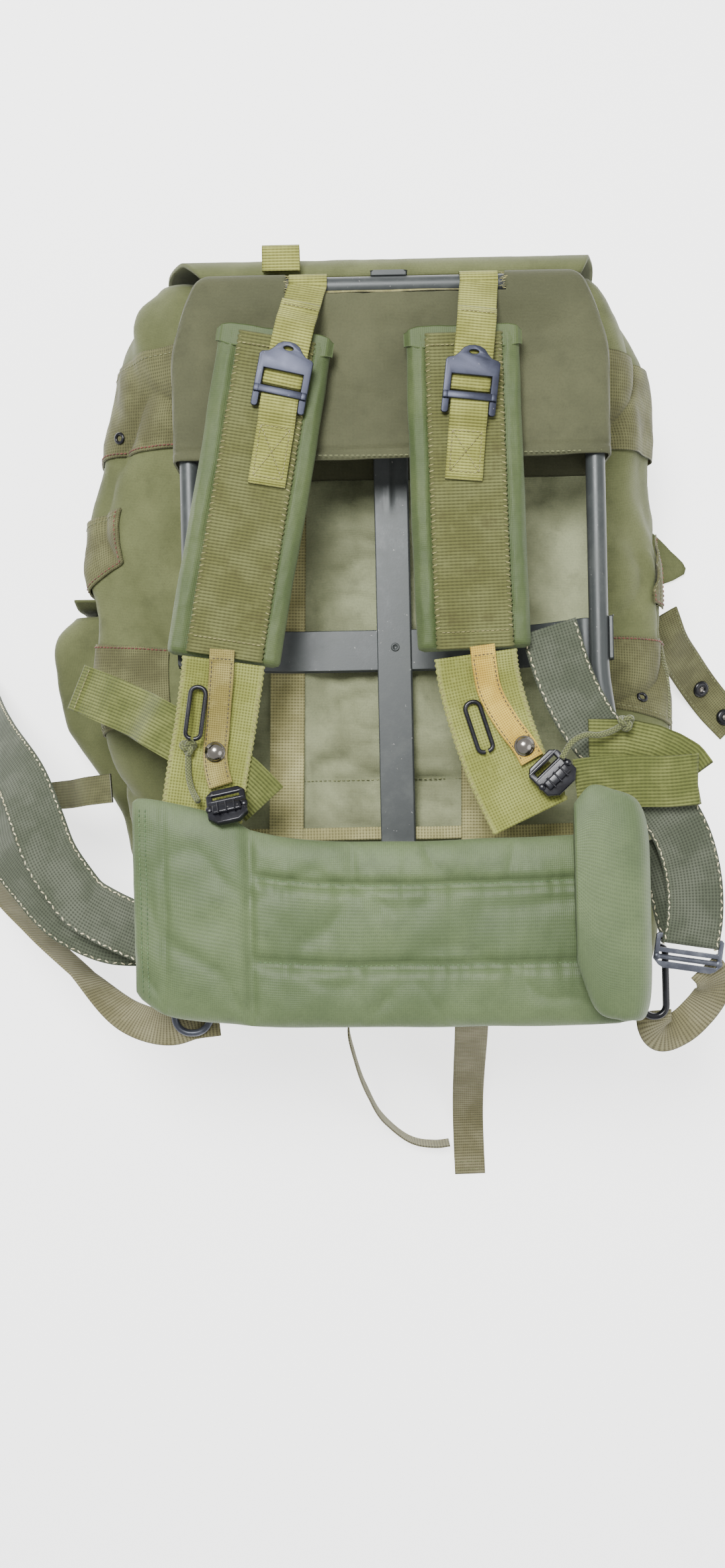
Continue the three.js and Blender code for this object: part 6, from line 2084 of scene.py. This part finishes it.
class RUCKSACK_OT_bag(PieceOperator, bpy.types.Operator):
    """Makes the bag's shell with its side bands, patches and eyelets"""

    bl_idname = "rucksack.bag"
    bl_label = "Bag"
    makers = (bag_body, bag_trim)


class RUCKSACK_OT_lid(PieceOperator, bpy.types.Operator):
    """Makes the lid folded over the mouth to the front"""

    bl_idname = "rucksack.lid"
    bl_label = "Lid"

    def execute(self, context):
        sheet_cloth("lid_cloth", "lid", LID, 2.6, 110, 90, 1.6)
        return {"FINISHED"}


class RUCKSACK_OT_pockets(PieceOperator, bpy.types.Operator):
    """Makes the three front pockets and their flaps"""

    bl_idname = "rucksack.pockets"
    bl_label = "Front pockets"

    def execute(self, context):
        for side in POCKETS:
            pocket(side)
        return {"FINISHED"}


class RUCKSACK_OT_sleeve(PieceOperator, bpy.types.Operator):
    """Makes the envelope over the frame's top with its window"""

    bl_idname = "rucksack.sleeve"
    bl_label = "Frame sleeve"
    makers = (sleeve,)


class RUCKSACK_OT_back_straps(PieceOperator, bpy.types.Operator):
    """Makes the webbing down the back panel and the carry loop"""

    bl_idname = "rucksack.back_straps"
    bl_label = "Back webbing and carry loop"
    makers = (back_straps,)


class RUCKSACK_OT_hip_pad(PieceOperator, bpy.types.Operator):
    """Makes the quilted hip pad with its folded end"""

    bl_idname = "rucksack.hip_pad"
    bl_label = "Hip pad"
    makers = (hip_pad,)


class RUCKSACK_OT_waist_belt(PieceOperator, bpy.types.Operator):
    """Makes both halves of the waist belt with their buckles and anchor straps"""

    bl_idname = "rucksack.waist_belt"
    bl_label = "Waist belt"
    makers = (waist_belt,)


class RUCKSACK_OT_loose_straps(PieceOperator, bpy.types.Operator):
    """Makes the straps that hang from the bag to the floor, with their snaps"""

    bl_idname = "rucksack.loose_straps"
    bl_label = "Loose straps"
    makers = (loose_straps,)


class RUCKSACK_OT_stage(PieceOperator, bpy.types.Operator):
    """Makes the white floor, the room light and the lamps"""

    bl_idname = "rucksack.stage"
    bl_label = "Stage"
    makers = (stage,)


OPERATORS = (
    RUCKSACK_OT_camera, RUCKSACK_OT_pull_cords, RUCKSACK_OT_shoulder_pads, RUCKSACK_OT_pad_webbing,
    RUCKSACK_OT_top_straps, RUCKSACK_OT_pull_tabs, RUCKSACK_OT_release_buckles, RUCKSACK_OT_ribbed_straps,
    RUCKSACK_OT_frame, RUCKSACK_OT_bag, RUCKSACK_OT_lid,
    RUCKSACK_OT_pockets, RUCKSACK_OT_sleeve, RUCKSACK_OT_back_straps, RUCKSACK_OT_hip_pad,
    RUCKSACK_OT_waist_belt, RUCKSACK_OT_loose_straps, RUCKSACK_OT_stage,
)


class RUCKSACK_PT_pieces(bpy.types.Panel):
    """Lists the rucksack's pieces"""

    bl_label = "Field rucksack"
    bl_idname = "RUCKSACK_PT_pieces"
    bl_space_type = "VIEW_3D"
    bl_region_type = "UI"
    bl_category = "Rucksack"

    def draw(self, context):
        for facts in (context.scene.rucksack_sizes, context.scene.rucksack_colours):
            for key in facts.bl_rna.properties.keys():
                if key not in ("rna_type", "name"):
                    self.layout.prop(facts, key)
        for operator in OPERATORS:
            self.layout.operator(operator.bl_idname)


CLASSES = (RucksackSizes, RucksackColours, *OPERATORS, RUCKSACK_PT_pieces)


def register():
    for made in CLASSES:
        bpy.utils.register_class(made)
    bpy.types.Scene.rucksack_sizes = bpy.props.PointerProperty(type=RucksackSizes)
    bpy.types.Scene.rucksack_colours = bpy.props.PointerProperty(type=RucksackColours)


def unregister():
    del bpy.types.Scene.rucksack_colours
    del bpy.types.Scene.rucksack_sizes
    for made in reversed(CLASSES):
        bpy.utils.unregister_class(made)


def main():
    register()
    for operator in OPERATORS:
        getattr(bpy.ops.rucksack, operator.bl_idname.split(".")[1])()


if __name__ == "__main__":
    main()
